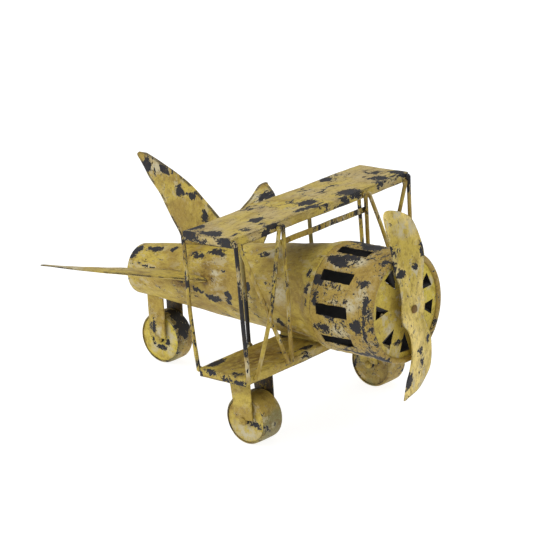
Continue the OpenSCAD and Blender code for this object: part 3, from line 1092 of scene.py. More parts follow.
    # near-black undercoat on hidden faces inside the cowl and the wheels, darkened past the undercoat of the chips
    # as painted shade
    INSIDE = ChippedPaint(
        "inside_undercoat", SHADE_BLACK, BLUE_BLACK, grime=colour(40, 33, 25), scuff=colour(60, 54, 44),
        chips=0.05, edge_chips=0.0, specks=0.1, scuffs=0.3, smears=0.4, seed=269)


# ---------------------------------------------------------------- the workshop


class Workshop:
    """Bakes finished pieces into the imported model, paints them and lets them ride.

    Attributes:
        paints: the material of each finish.
    """

    def __init__(self) -> None:
        """Mixes the paints."""
        group, spot = chipped_paint_group(), patch_group()
        self.paints = {finish: finish.value.build(group, spot) for finish in Finish}

    def deliver(
        self, piece: bpy.types.Object, node: str, datum: Datum, finish: Finish, soft_angle: float = 40
    ) -> bpy.types.Object:
        """Finishes one piece in place of its CAD node.

        Args:
            piece: the piece, modelled in millimetres in its datum.
            node: the CAD node that it stands for.
            datum: the frame it was modelled in.
            finish: its paint.
            soft_angle: edges under this angle, in degrees, are shaded smooth.

        Returns:
            The piece.
        """
        face_outwards(piece)
        piece.data.transform(datum.matrix)
        pick_only(piece)
        bpy.ops.object.shade_smooth_by_angle(angle=math.radians(soft_angle))
        piece.name = node + "_shell"
        piece.data.materials.clear()
        piece.data.materials.append(self.paints[finish])
        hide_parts(node)
        bodies = frame["record"]["behaviour"]["bodies"]
        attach(piece, next(body for body, nodes in bodies.items() if node in nodes))
        LOG.info("%s: %d faces", piece.name, len(piece.data.polygons))
        return piece

    def assemble(
        self, pieces: Sequence[bpy.types.Object], node: str, datum: Datum, finish: Finish
    ) -> bpy.types.Object:
        """Joins pieces and finishes them as one, in place of one CAD node.

        Args:
            pieces: the pieces, modelled in millimetres in their datum.
            node: the CAD node that they stand for.
            datum: the frame they were modelled in.
            finish: their paint.

        Returns:
            The joined piece.
        """
        for piece in pieces:
            face_outwards(piece)
        return self.deliver(joined(pieces), node, datum, finish)

    def leave_bare(self, piece: bpy.types.Object, datum: Datum, hidden: Callable[[Vector], bool]) -> None:
        """Gives a finished piece's hidden faces the near-black undercoat, which paints the shade inside.

        Args:
            piece: the piece.
            datum: the frame that the test works in.
            hidden: tells from the middle of a face, in millimetres, whether it is hidden.
        """
        piece.data.materials.append(self.paints[Finish.INSIDE])
        into_datum = datum.matrix.inverted()
        for polygon in piece.data.polygons:
            if hidden(into_datum @ polygon.center):
                polygon.material_index = 1


# ---------------------------------------------------------------- the fuselage


@dataclass
class Fuselage:
    """Tapered tube that swells into the cowl, its tail cap and its packing strip.

    Attributes:
        tail_x: place of the tail end.
        tail_radius: radius at the tail end.
        taper: growth of the radius per millimetre forward.
        axis_low: height of the axis at the tail end.
        axis_slope: rise of the axis per millimetre forward.
        shoulder_x: where the tube starts to swell.
        front_x: where the cowl begins.
        front_radius: radius there.
        front_level: height of the cowl's axis.
        sheet: thickness of the metal.
    """

    tail_x: float = -242.0
    tail_radius: float = 28.8
    taper: float = 0.0929
    axis_low: float = -3.15
    axis_slope: float = 0.0485
    shoulder_x: float = 38.0
    front_x: float = 59.0
    front_radius: float = 60.2
    front_level: float = 10.5
    sheet: float = 1.0

    def centre(self, x: float) -> Vector:
        """Point of the tube's axis.

        Args:
            x: distance forward.

        Returns:
            The point.
        """
        return Vector((x, 0, self.axis_low + self.axis_slope * (x - self.tail_x)))

    def radius(self, x: float) -> float:
        """Radius of the tapered tube.

        Args:
            x: distance forward.

        Returns:
            The radius.
        """
        return self.tail_radius + self.taper * (x - self.tail_x)

    def ring(self, x: float, count: int, shrink: float = 0.0) -> list[Vector]:
        """Ring of points on the outer face, upright where it meets the cowl.

        Args:
            x: distance forward.
            count: number of points.
            shrink: how much smaller the radius is made.

        Returns:
            The points.
        """
        share = max(0.0, (x - self.shoulder_x) / (self.front_x - self.shoulder_x))
        ease = math.sin(share * math.pi / 2) ** 2
        slope = self.axis_slope * (1 - ease)
        middle = self.centre(x)
        middle.z += ease * (self.front_level - middle.z)
        radius = self.radius(x) + ease * (self.front_radius - self.radius(x)) - shrink
        up = Vector((-slope, 0, 1)).normalized()
        return circle_ring(middle, Vector((0, 1, 0)), up, radius, count)

    def envelope(self, shrink: float) -> bpy.types.Object:
        """Solid that fills the tube, for cutting pieces that meet it.

        Args:
            shrink: how much smaller than the tube it is.

        Returns:
            The new object.
        """
        return swept("envelope", [self.ring(x, 120, shrink) for x in (self.tail_x - 0.5, self.shoulder_x)])

    def build(self, shop: Workshop) -> None:
        """Builds the fuselage.

        Args:
            shop: the workshop.
        """
        stations = [self.tail_x + i * (self.shoulder_x - self.tail_x) / 72 for i in range(72)]
        stations += [self.shoulder_x + i * (self.front_x + 0.05 - self.shoulder_x) / 14 for i in range(15)]
        tube = swept("tube", [self.ring(x, 128) for x in stations], capped=False)
        face_outwards(tube)
        dent(tube, 0.55, 34, 3, lambda p: min(1, max(0, (52 - p.x) / 20)))
        dent(tube, 0.25, 11, 8, lambda p: min(1, max(0, (52 - p.x) / 20)))
        bulge(tube, Vector((-62, -44, 2)), 9, 1.6)
        bulge(tube, Vector((-118, -36, 14)), 16, -1.4)
        modify(tube, "SOLIDIFY", thickness=self.sheet, offset=-1)
        shop.deliver(tube, "fuselage_tube", AIRFRAME, Finish.FUSELAGE)
        self.cap(shop)
        self.saddle(shop)

    def cap(self, shop: Workshop) -> None:
        """Builds the dished cap that closes the tail end.

        Args:
            shop: the workshop.
        """
        inside = self.tail_radius - self.sheet - 0.1
        depths = [(2.6, inside), (1.0, inside), (-0.6, inside - 0.5), (-1.8, inside - 1.8)]
        depths += [(-2.5 - 0.3 * (i / 9), (inside - 3.2) * (1 - i / 9.4)) for i in range(10)]
        rings = []
        for ahead, radius in depths:
            up = Vector((-self.axis_slope, 0, 1)).normalized()
            rings.append(circle_ring(self.centre(self.tail_x + ahead), Vector((0, 1, 0)), up, radius, 96))
        cap = swept("cap", rings[::-1])
        edit(cap)
        choose(cap, "FACE", lambda f: len(f.verts) > 4 and f.calc_center_median().x > self.tail_x)
        bpy.ops.mesh.delete(type="ONLY_FACE")
        leave_edit()
        face_outwards(cap)
        dent(cap, 0.35, 12, 5)
        modify(cap, "SOLIDIFY", thickness=self.sheet * 0.9, offset=-1)
        shop.deliver(cap, "tail_cap", AIRFRAME, Finish.FIN)

    def saddle(self, shop: Workshop) -> None:
        """Builds the packing strip between tube and lower wing.

        Args:
            shop: the workshop.
        """
        low, high = AIRFRAME.box("wing_saddle")
        saddle = slab("saddle", low, high, (18, 8, 2))
        cutter = self.envelope(0.1)
        modify(saddle, "BOOLEAN", object=cutter, operation="DIFFERENCE")
        bpy.data.objects.remove(cutter)
        shop.deliver(saddle, "wing_saddle", AIRFRAME, Finish.FUSELAGE)


# ---------------------------------------------------------------- the cowl


@dataclass
class Cowl:
    """Slotted drum with its bulkhead, its rolled lip and its vented face.

    Attributes:
        back: where the drum starts.
        front: where the drum ends.
        radius: outer radius of the drum.
        level: height of the axis.
        slots: number of cooling slots.
        slot_width: width of a slot.
        slot_start: distance of a slot from the drum's back.
        slot_length: length of a slot.
        first_slot: angle of the first slot over the right-hand side line, in degrees.
        vents: angles of the three-cornered vents from the upright, towards the left wing, in degrees.
        flaps: how far the flap of each vent is bent in, in degrees.
        sheet: thickness of the metal.
    """

    back: float = 59.02
    front: float = 141.0
    radius: float = 60.5
    level: float = 10.5
    slots: int = 10
    slot_width: float = 12.5
    slot_start: float = 8.0
    slot_length: float = 42.0
    first_slot: float = 4.0
    vents: tuple[float, ...] = (-30, 18, 66, 105, 144, 184, 226, 278)
    flaps: tuple[float, ...] = (72, 70, 74, 72, 66, 70, 48, 74)
    sheet: float = 1.0

    def build(self, shop: Workshop) -> None:
        """Builds the cowl.

        Args:
            shop: the workshop.
        """
        self.drum(shop)
        self.lip(shop)
        self.face(shop)
        # the bulkhead takes the near-black inside finish, painted shade at the back of the cowl
        profile = [(self.back + 1, r) for r in (2, 14, 28, 42, 54, self.radius - self.sheet - 0.2)]
        profile += [(x + 1, r) for x, r in reversed(profile)]
        bulkhead = turned("bulkhead", profile, 96, level=self.level)
        shop.deliver(bulkhead, "cowl_bulkhead", AIRFRAME, Finish.INSIDE)

    def drum(self, shop: Workshop) -> None:
        """Builds the drum, with a hand-cut slot wherever a column of faces is taken out.

        Args:
            shop: the workshop.
        """
        step = 360 / self.slots
        half = math.degrees(math.asin(self.slot_width / 2 / self.radius))
        angles = []
        for i in range(self.slots):
            middle = 180 - self.first_slot - i * step
            angles += [middle - half + 2 * half * k / 6 for k in range(6)]
            angles += [middle + half + (step - 2 * half) * k / 12 for k in range(12)]
        angles.sort()
        slot_end = self.slot_start + self.slot_length
        depth = self.front - self.back
        places = [0, 2, 5, *(self.slot_start + self.slot_length * k / 14 for k in range(15))]
        places += [slot_end + (depth - slot_end) * k / 10 for k in range(1, 11)]
        turns = [math.radians(a) for a in angles]
        rings = []
        for place in places:
            r = self.radius - 0.35 * max(0.0, 1 - place / 6)
            rings.append([
                Vector((self.back + place, r * math.cos(turn), self.level + r * math.sin(turn)))
                for turn in turns
            ])
        drum = swept("drum", rings, capped=False)
        face_outwards(drum)
        edit(drum)
        choose(drum, "FACE", lambda f: self.in_slot(f.calc_center_median(), half))
        bpy.ops.mesh.delete(type="FACE")
        leave_edit()
        for vertex in drum.data.vertices:
            reach = vertex.co.x - self.back
            if self.slot_start - 1 < reach < slot_end + 1:
                stray = noise.noise_vector(vertex.co * 0.11)
                vertex.co += Vector((1.1 * stray.x, 0.9 * stray.y, 0.9 * stray.z))
        dent(drum, 0.5, 26, 21, lambda p: min(1, max(0, (124 - p.x) / 8)) * min(1, (p.x - self.back) / 8))
        modify(drum, "SOLIDIFY", thickness=self.sheet, offset=-1)
        modify(drum, "BEVEL", width=0.22, segments=2, limit_method="ANGLE", angle_limit=math.radians(55))
        made = shop.deliver(drum, "cowl_drum", AIRFRAME, Finish.COWL)
        # the drum's inner wall takes the near-black inside finish: painted shade seen through the slots
        inner = self.radius - 0.6
        shop.leave_bare(made, AIRFRAME, lambda point: math.hypot(point.y, point.z - self.level) < inner)

    def in_slot(self, point: Vector, half: float) -> bool:
        """Whether a point of the drum lies in a slot.

        Args:
            point: the point.
            half: half a slot's width in degrees.

        Returns:
            True in a slot.
        """
        angle = math.degrees(math.atan2(point.z - self.level, point.y))
        step = 360 / self.slots
        off = (angle - 180 + self.first_slot + step / 2) % step - step / 2
        reach = point.x - self.back - self.slot_start
        return abs(off) < half and 0 < reach < self.slot_length

    def lip(self, shop: Workshop) -> None:
        """Builds the rim that slides over the drum and rolls into its mouth.

        Args:
            shop: the workshop.
        """
        inner, roll, skirt = self.radius + 0.02, 3.4, 14.0
        middle = inner + self.sheet - roll
        turns = [math.radians(15 * i) for i in range(13)]
        outer = [(self.front - skirt, inner + self.sheet), (self.front - skirt * 0.5, inner + self.sheet)]
        outer += [(self.front + roll * math.sin(a), middle + roll * math.cos(a)) for a in turns]
        back = roll - self.sheet
        outer += [(self.front + back * math.sin(a), middle + back * math.cos(a)) for a in reversed(turns)]
        outer += [(self.front - skirt * 0.5, inner), (self.front - skirt, inner)]
        lip = turned_ring("lip", outer, 180, level=self.level)
        for vertex in lip.data.vertices:
            wave = noise.noise(vertex.co * 0.035) + 0.4 * noise.noise(vertex.co * 0.1)
            if vertex.co.x < self.front - skirt + 1:
                vertex.co.x += 0.7 * noise.noise(vertex.co * 0.09)
            elif vertex.co.x > self.front:
                vertex.co.x += 0.35 * wave
        modify(lip, "BEVEL", width=0.2, segments=2, limit_method="ANGLE", angle_limit=math.radians(55))
        shop.deliver(lip, "cowl_lip", AIRFRAME, Finish.COWL)

    def face(self, shop: Workshop) -> None:
        """Builds the vented disc with the flaps that were bent in to open its vents.

        Args:
            shop: the workshop.
        """
        rim = self.radius - self.sheet - 0.1
        front = self.front - 0.05
        profile = [(front - self.sheet, r) for r in (3.4, 12, 20, 27, 34, 42, 49, 55, rim)]
        profile += [(x + self.sheet, r) for x, r in reversed(profile)]
        disc = turned_ring("disc", profile, 144, level=self.level)
        face_outwards(disc)
        cutters, flaps = [], []
        for i, (angle, bend) in enumerate(zip(self.vents, self.flaps)):
            turn = math.radians(angle)
            stray = noise.noise_vector(Vector((i * 1.7, 3, 1)))
            corners = [(27 + stray.x, stray.y), (48.6 + stray.z, -8.4 + stray.x), (48.6, 8.2 + stray.y)]
            cutters.append(self.vent_prism(corners, turn, front))
            flaps.append(self.flap(corners, turn, front, bend))
        cutter = joined(cutters)
        modify(disc, "BOOLEAN", object=cutter, operation="DIFFERENCE")
        bpy.data.objects.remove(cutter)
        modify(disc, "BEVEL", width=0.18, segments=2, limit_method="ANGLE", angle_limit=math.radians(60))
        made = shop.assemble([disc, *flaps], "cowl_face", AIRFRAME, Finish.COWL_FACE)
        # the disc's back and the bent-in flaps take the near-black inside finish: painted shade that keeps the
        # vents dark
        shop.leave_bare(made, AIRFRAME, lambda point: point.x < front - 0.12)

    def on_face(self, out: float, across: float, turn: float, x: float) -> Vector:
        """Point in front of the face from its place beside a vent's middle line.

        Args:
            out: distance from the axis along the middle line.
            across: distance from the middle line.
            turn: angle of the middle line from the upright, towards the left wing.
            x: distance forward.

        Returns:
            The point.
        """
        y = out * math.sin(turn) + across * math.cos(turn)
        z = out * math.cos(turn) - across * math.sin(turn)
        return Vector((x, y, self.level + z))

    def vent_prism(self, corners: Profile, turn: float, x: float) -> bpy.types.Object:
        """Prism that cuts one vent.

        Args:
            corners: the vent's corners, out from the axis and across.
            turn: angle of its middle line.
            x: front of the face.

        Returns:
            The new object.
        """
        rings = [[self.on_face(*c, turn, x + ahead) for c in corners] for ahead in (-4, 3)]
        prism = swept("prism", rings)
        face_outwards(prism)
        return prism

    def flap(self, corners: Profile, turn: float, x: float, angle: float) -> bpy.types.Object:
        """Cut-out metal of a vent, curled back from the side where it still joins the face.

        Args:
            corners: the vent's corners, out from the axis and across.
            turn: angle of its middle line.
            x: front of the face.
            angle: how far it is bent back, in degrees.

        Returns:
            The new object.
        """
        tip, far, hinge = (Vector((*c, 0)) for c in corners)
        run = (hinge - tip).normalized()
        inward = Vector((run.y, -run.x, 0))
        height = (far - tip).dot(inward)
        foot = (far - tip).dot(run)
        length = (hinge - tip).length

        def surface(up: float, along: float) -> Vector:
            """Point of the curled sheet.

            Args:
                up: distance from the hinge's line.
                along: distance along it.

            Returns:
                The point.
            """
            bend = math.radians(angle) * min(1.0, 0.35 + up / height)
            flat = tip + run * along + inward * up * math.cos(bend)
            return self.on_face(flat.x, flat.y, turn, x - 0.55 - up * math.sin(bend))

        rows = []
        for k in range(9):
            share = k / 8 * 0.94
            low, high = foot * share, length + (foot - length) * share
            rows.append(Vector((height * share, low + 0.6, max(high - 0.6, low + 0.9))))
        return strip("flap", rows, surface, 0.9, across=8)


# ---------------------------------------------------------------- the wings


@dataclass
class Wing:
    """Boxed wing folded from one sheet, with a closing sheet let into its underside.

    Attributes:
        node: start of its CAD nodes' names.
        finish: its paint.
        sag: how far the closing sheet hangs under the folded edges.
        seed: changes its dents.
    """

    node: str
    finish: Finish
    sag: float
    seed: float

    def warp(self, piece: bpy.types.Object, centre: Vector) -> None:
        """Bends a panel a little out of true.

        Args:
            piece: the panel.
            centre: middle of the wing.
        """
        for vertex in piece.data.vertices:
            at = vertex.co - centre
            slow = Vector((at.x / 60 + self.seed, at.y / 70, 0))
            vertex.co.z += 0.75 * noise.noise(slow) + 0.25 * noise.noise(slow * 3.1)
            edge_wave = noise.noise(Vector((at.y / 26, self.seed, at.z / 14)))
            vertex.co.x += (0.6 if at.x > 0 else 0.4) * edge_wave

    def build(self, shop: Workshop) -> None:
        """Builds the wing.

        Args:
            shop: the workshop.
        """
        low, high = AIRFRAME.box(self.node + "_skin")
        centre = (low + high) / 2
        skin = slab("skin", low, high, (26, 96, 4))
        modify(skin, "BEVEL", width=0.9, segments=3, limit_method="ANGLE", angle_limit=math.radians(60))
        edit(skin)
        choose(skin, "FACE", lambda f: all(v.co.z < low.z + 0.05 for v in f.verts))
        bpy.ops.mesh.delete(type="FACE")
        leave_edit()
        dent(skin, 0.3, 17, self.seed)
        dent(skin, 0.12, 5, self.seed + 4)
        modify(skin, "SOLIDIFY", thickness=1, offset=-1)
        self.warp(skin, centre)
        shop.deliver(skin, self.node + "_skin", AIRFRAME, self.finish)
        low, high = AIRFRAME.box(self.node + "_underside")
        sheet = slab("sheet", low + Vector((0.4, 0.4, 0)), high - Vector((0.4, 0.4, 0)), (20, 70, 1))
        half = (high.y - low.y) / 2
        for vertex in sheet.data.vertices:
            near_tip = max(0.0, abs(vertex.co.y) / half * 4 - 3)
            middle = 1 - ((vertex.co.x - centre.x) / (high.x - low.x) * 2) ** 2
            vertex.co.z -= self.sag * near_tip * middle
        dent(sheet, 0.3, 20, self.seed + 9)
        self.warp(sheet, centre)
        # the closing sheet's near-black paint is partly painted shade under the wing
        shop.deliver(sheet, self.node + "_underside", AIRFRAME, Finish.UNDERSIDE)


# ---------------------------------------------------------------- struts and braces


@dataclass
class Rigging:
    """Wire struts and braces between the wings, with beads of weld at their feet.

    Attributes:
        radius: radius of the wire.
        front: distance forward of the front wires.
        rear_upper: distance of the rear wires at the upper wing.
        rear_lower: distance of the rear wires at the lower wing.
    """

    radius: float = 2.3
    front: float = 37.32
    rear_upper: float = -37.32
    rear_lower: float = -33.82

    def paths(self) -> dict[str, tuple[list[Vector], Finish]]:
        """Paths of the left-hand wires.

        Returns:
            Each wire's path and paint, by its name with a gap for the side.
        """
        f, ru, rl = self.front, self.rear_upper, self.rear_lower
        return {
            "front_outer_strut_%s": ([Vector((f, 147, 107)), Vector((f, 141, -50))], Finish.DARK_WIRE),
            "front_inner_strut_%s": ([Vector((f, 70, 106)), Vector((f, 70, -48))], Finish.WIRE),
            "rear_outer_strut_%s": (
                [Vector((ru, 147, 104)), Vector(((ru + rl) / 2, 146, 12)), Vector((rl, 141.5, -49))],
                Finish.WIRE,
            ),
            # the rear inner struts take the olive wire paint as painted shade
            "rear_inner_strut_%s": ([Vector((ru, 58.5, 103)), Vector((rl, 58.5, -47))], Finish.FADED_WIRE),
            "falling_brace_%s": ([Vector((f, 141.5, 102)), Vector((f, 75.5, -48))], Finish.WIRE),
            "rising_brace_%s": (
                [
                    Vector((f, 76, 105)), Vector((f + 4.8, 97, 42)),
                    Vector((f + 4.8, 108, 8)), Vector((f, 128, -51)),
                ],
                Finish.WIRE,
            ),
        }

    def build(self, shop: Workshop) -> None:
        """Builds all wires.

        Args:
            shop: the workshop.
        """
        for side in Side:
            for pattern, (path, finish) in self.paths().items():
                node = pattern % side.word
                points = [Vector((p.x, p.y * side.value, p.z)) for p in path]
                seed = sum(map(ord, node)) * 0.13
                rod = wire_piece(node, points, self.radius, 1.1)
                corner = math.radians(70)
                modify(rod, "BEVEL", width=0.5, segments=2, limit_method="ANGLE", angle_limit=corner)
                towards_wing = Vector((-1.2 if points[0].x > 0 else 1.2, 0, 0))
                top = points[0] + towards_wing + Vector((0, 0, -2))
                end = points[-1] + towards_wing + Vector((0, 0, 2))
                head = lump(top, Vector((2.4, 3.6, 3.6)), seed)
                foot = lump(end, Vector((2.3, 3.3, 3.2)), seed + 5)
                shop.assemble([rod, head, foot], node, AIRFRAME, finish)
        self.cross_bar(shop)

    def cross_bar(self, shop: Workshop) -> None:
        """Builds the flat bar between the inner front struts.

        Args:
            shop: the workshop.
        """
        low, high = AIRFRAME.box("cross_bar")
        middle = (low + high) / 2
        rows = [
            Vector((low.y + (high.y - low.y) * i / 60, low.z - middle.z, high.z - middle.z))
            for i in range(61)
        ]

        def surface(along: float, across: float) -> Vector:
            """Middle of the bar's sheet, a little bent.

            Args:
                along: distance towards the left wing.
                across: height over the bar's middle.

            Returns:
                The point.
            """
            stray = 0.8 * noise.noise(Vector((along / 30, 5, 0)))
            return Vector((middle.x + 0.5 * stray, along, middle.z + across + stray))

        bar = strip("bar", rows, surface, high.x - low.x - 0.1, across=4)
        modify(bar, "BEVEL", width=0.35, segments=2, limit_method="ANGLE", angle_limit=math.radians(60))
        shop.deliver(bar, "cross_bar", AIRFRAME, Finish.WIRE)


# ---------------------------------------------------------------- the tail


@dataclass
class Tail:
    """Hollow fins of two sheets that meet in a flat rim.

    Attributes:
        fuselage: the tube that they stand on.
        dihedral: rise of the side fins, in degrees.
        rim: width of the flat rim.
    """

    fuselage: Fuselage
    dihedral: float = 15.8
    rim: float = 2.6

    def fin(
        self, name: str, outline: Sequence[tuple[float, float, float]], swell: float
    ) -> bpy.types.Object:
        """Fin that stands up from the X axis.

        Args:
            name: name of the new object.
            outline: rows of height, trailing edge and leading edge.
            swell: thickness at the root.

        Returns:
            The new object.
        """
        rows = smooth_path([Vector(row) for row in outline], 7)
        reach = outline[-1][0] - outline[0][0]
        rings = []
        for height, back, front in rows:
            chord = front - back
            rim = min(self.rim, chord * 0.3)
            stops = [0, rim / chord * 0.5]
            stops += [rim / chord + (1 - 2 * rim / chord) * k / 18 for k in range(19)]
            stops += [1 - rim / chord * 0.5, 1]
            bulge_here = swell / 2 * (1 - (height - outline[0][0]) / reach)
            faces: list[list[Vector]] = [[], []]
            for stop in stops:
                inner = (stop - rim / chord) / (1 - 2 * rim / chord)
                crown = math.sqrt(max(0.0, 4 * inner * (1 - inner)))
                wave = 0.5 * noise.noise(Vector((stop * chord / 22, height / 22, swell)))
                half = 0.42 + bulge_here * crown * (1 + 0.12 * wave)
                x = back + chord * stop
                faces[0].append(Vector((x, half + wave, height)))
                faces[1].append(Vector((x, wave - half, height)))
            rings.append([*faces[0], *reversed(faces[1])])
        return swept(name, rings)

    def build(self, shop: Workshop) -> None:
        """Builds the three fins.

        Args:
            shop: the workshop.
        """
        upright = (
            (28, -174, -62), (48, -182, -86), (62, -191, -103), (77, -200, -121), (91, -208, -138),
            (107, -222, -158), (118, -229, -178), (127, -235, -199), (133, -239, -214),
            (136.6, -236, -224),
        )
        side_fin = (
            (24, -188, -98), (45, -192, -107), (75, -196, -121), (105, -200, -136), (137, -205, -156),
            (160, -210, -171), (175, -215, -183), (187, -219, -199), (193, -218, -208),
            (196.6, -215.5, -212),
        )
        self.mount(shop, self.fin("fin", upright, 7), "vertical_fin")
        for side in Side:
            piece = self.fin("side_fin", side_fin, 9)
            lean = Matrix.Rotation(-side.value * math.radians(90 - self.dihedral), 4, "X")
            piece.data.transform(Matrix.Translation((0, 0, 2)) @ lean)
            self.mount(shop, piece, f"stabilizer_{side.word}")

    def mount(self, shop: Workshop, piece: bpy.types.Object, node: str) -> None:
        """Cuts a fin to the tube and delivers it.

        Args:
            shop: the workshop.
            piece: the fin.
            node: its CAD node.
        """
        face_outwards(piece)
        cutter = self.fuselage.envelope(0.9)
        face_outwards(cutter)
        modify(piece, "BOOLEAN", object=cutter, operation="DIFFERENCE")
        bpy.data.objects.remove(cutter)
        shop.deliver(piece, node, AIRFRAME, Finish.FIN, 28)


# ---------------------------------------------------------------- the propeller


@dataclass
class Propeller:
    """Two-bladed propeller cut from one sheet, with its spacer and its rivet.

    Attributes:
        x: distance forward of the sheet's back at the rivet.
        level: height of the rivet.
        sheet: thickness of the metal.
        sweep: how far the tips bend back.
        twist: twist of the blades' outer halves, in degrees.
        camber: how far a blade's middle stands in front of its edges.
        hole: radius of the rivet's hole.
    """

    x: float = 152.0
    level: float = 10.5
    sheet: float = 1.4
    sweep: float = 9.4
    twist: float = 8.0
    camber: float = 1.6
    hole: float = 2.55

    def surface(self, up: float, across: float) -> Vector:
        """Middle of the sheet.

        Args:
            up: distance over the rivet.
            across: distance towards the left wing.

        Returns:
            The point.
        """
        reach = abs(up)
        twist = math.radians(self.twist) * min(1.0, max(0.0, (reach - 20) / 30)) * (1 if up > 0 else -1)
        belly = max(0.0, 1 - (across / 26) ** 2) * min(1.0, max(0.0, (reach - 12) / 22))
        x = self.x + self.sheet / 2 - self.sweep * (reach / 112) ** 2 + across * math.sin(twist)
        x += self.camber * (belly - 0.3) * min(1.0, max(0.0, (reach - 12) / 22))
        return Vector((x, across, self.level + up))

    def build(self, shop: Workshop) -> None:
        """Builds the propeller.

        Args:
            shop: the workshop.
        """
        lower = [Vector(row) for row in (
            (-99.8, -17.9, -15), (-98.6, -17.6, -10), (-95, -17, 9), (-88, -16, 25), (-78, -14, 35),
            (-66, -9, 38), (-52, -6, 37), (-38, -6, 32), (-24, -9.5, 23), (-12, -18.5, 17),
        )]
        upper = [Vector(row) for row in (
            (12, -18.5, 18.5), (28, -19, 18.5), (45, -22, 20), (60, -23, 22), (75, -24, 19),
            (90, -25.5, 14), (100, -26, 8), (107, -26, -2), (111, -24, -12), (112.4, -21, -18),
        )]
        rows = smooth_path([*lower, Vector((0, -19.5, 19.5)), *upper], 7)
        sheet = strip("sheet", rows, self.surface, self.sheet, across=22)
        face_outwards(sheet)
        drill = turned("drill", [(self.x - 8, self.hole), (self.x + 8, self.hole)], 32, level=self.level)
        face_outwards(drill)
        modify(sheet, "BOOLEAN", object=drill, operation="DIFFERENCE")
        bpy.data.objects.remove(drill)
        dent(sheet, 0.3, 16, 13)
        modify(sheet, "BEVEL", width=0.3, segments=2, limit_method="ANGLE", angle_limit=math.radians(60))
        shop.deliver(sheet, "propeller", AIRFRAME, Finish.PROPELLER)
        low, high = AIRFRAME.box("propeller_spacer")
        bore = self.hole + 0.1
        profile = [(low.x, bore), (high.x, bore), (high.x, 5.6), (high.x - 0.5, 6), (low.x, 6)]
        spacer = turned_ring("spacer", profile, 48, level=self.level)
        shop.deliver(spacer, "propeller_spacer", AIRFRAME, Finish.PROPELLER)
        self.rivet(shop)

    def rivet(self, shop: Workshop) -> None:
        """Builds the rivet, whose head is hammered nearly square.

        Args:
            shop: the workshop.
        """
        low, high = AIRFRAME.box("propeller_pin")
        back, front = low.x, high.x
        profile = [
            (back, 3.9), (back + 1.9, 4.7), (back + 2, 2.5), (front - 2.7, 2.5), (front - 2.65, 4.6),
            (front - 2.2, 5.2), (front - 1.0, 4.8), (front - 0.3, 3.6), (front - 0.05, 2),
        ]
        pin = turned("pin", profile, 48, level=self.level)
        for vertex in pin.data.vertices:
            if vertex.co.x > front - 2.68:
                angle = math.atan2(vertex.co.z - self.level, vertex.co.y)
                square = 1 / max(abs(math.cos(angle - 0.2)), abs(math.sin(angle - 0.2)))
                grow = (0.55 + 0.45 * square) * 0.82
                vertex.co.y *= grow
                vertex.co.z = self.level + (vertex.co.z - self.level) * grow
        shop.deliver(pin, "propeller_pin", AIRFRAME, Finish.RUSTY)


# ---------------------------------------------------------------- the wheels


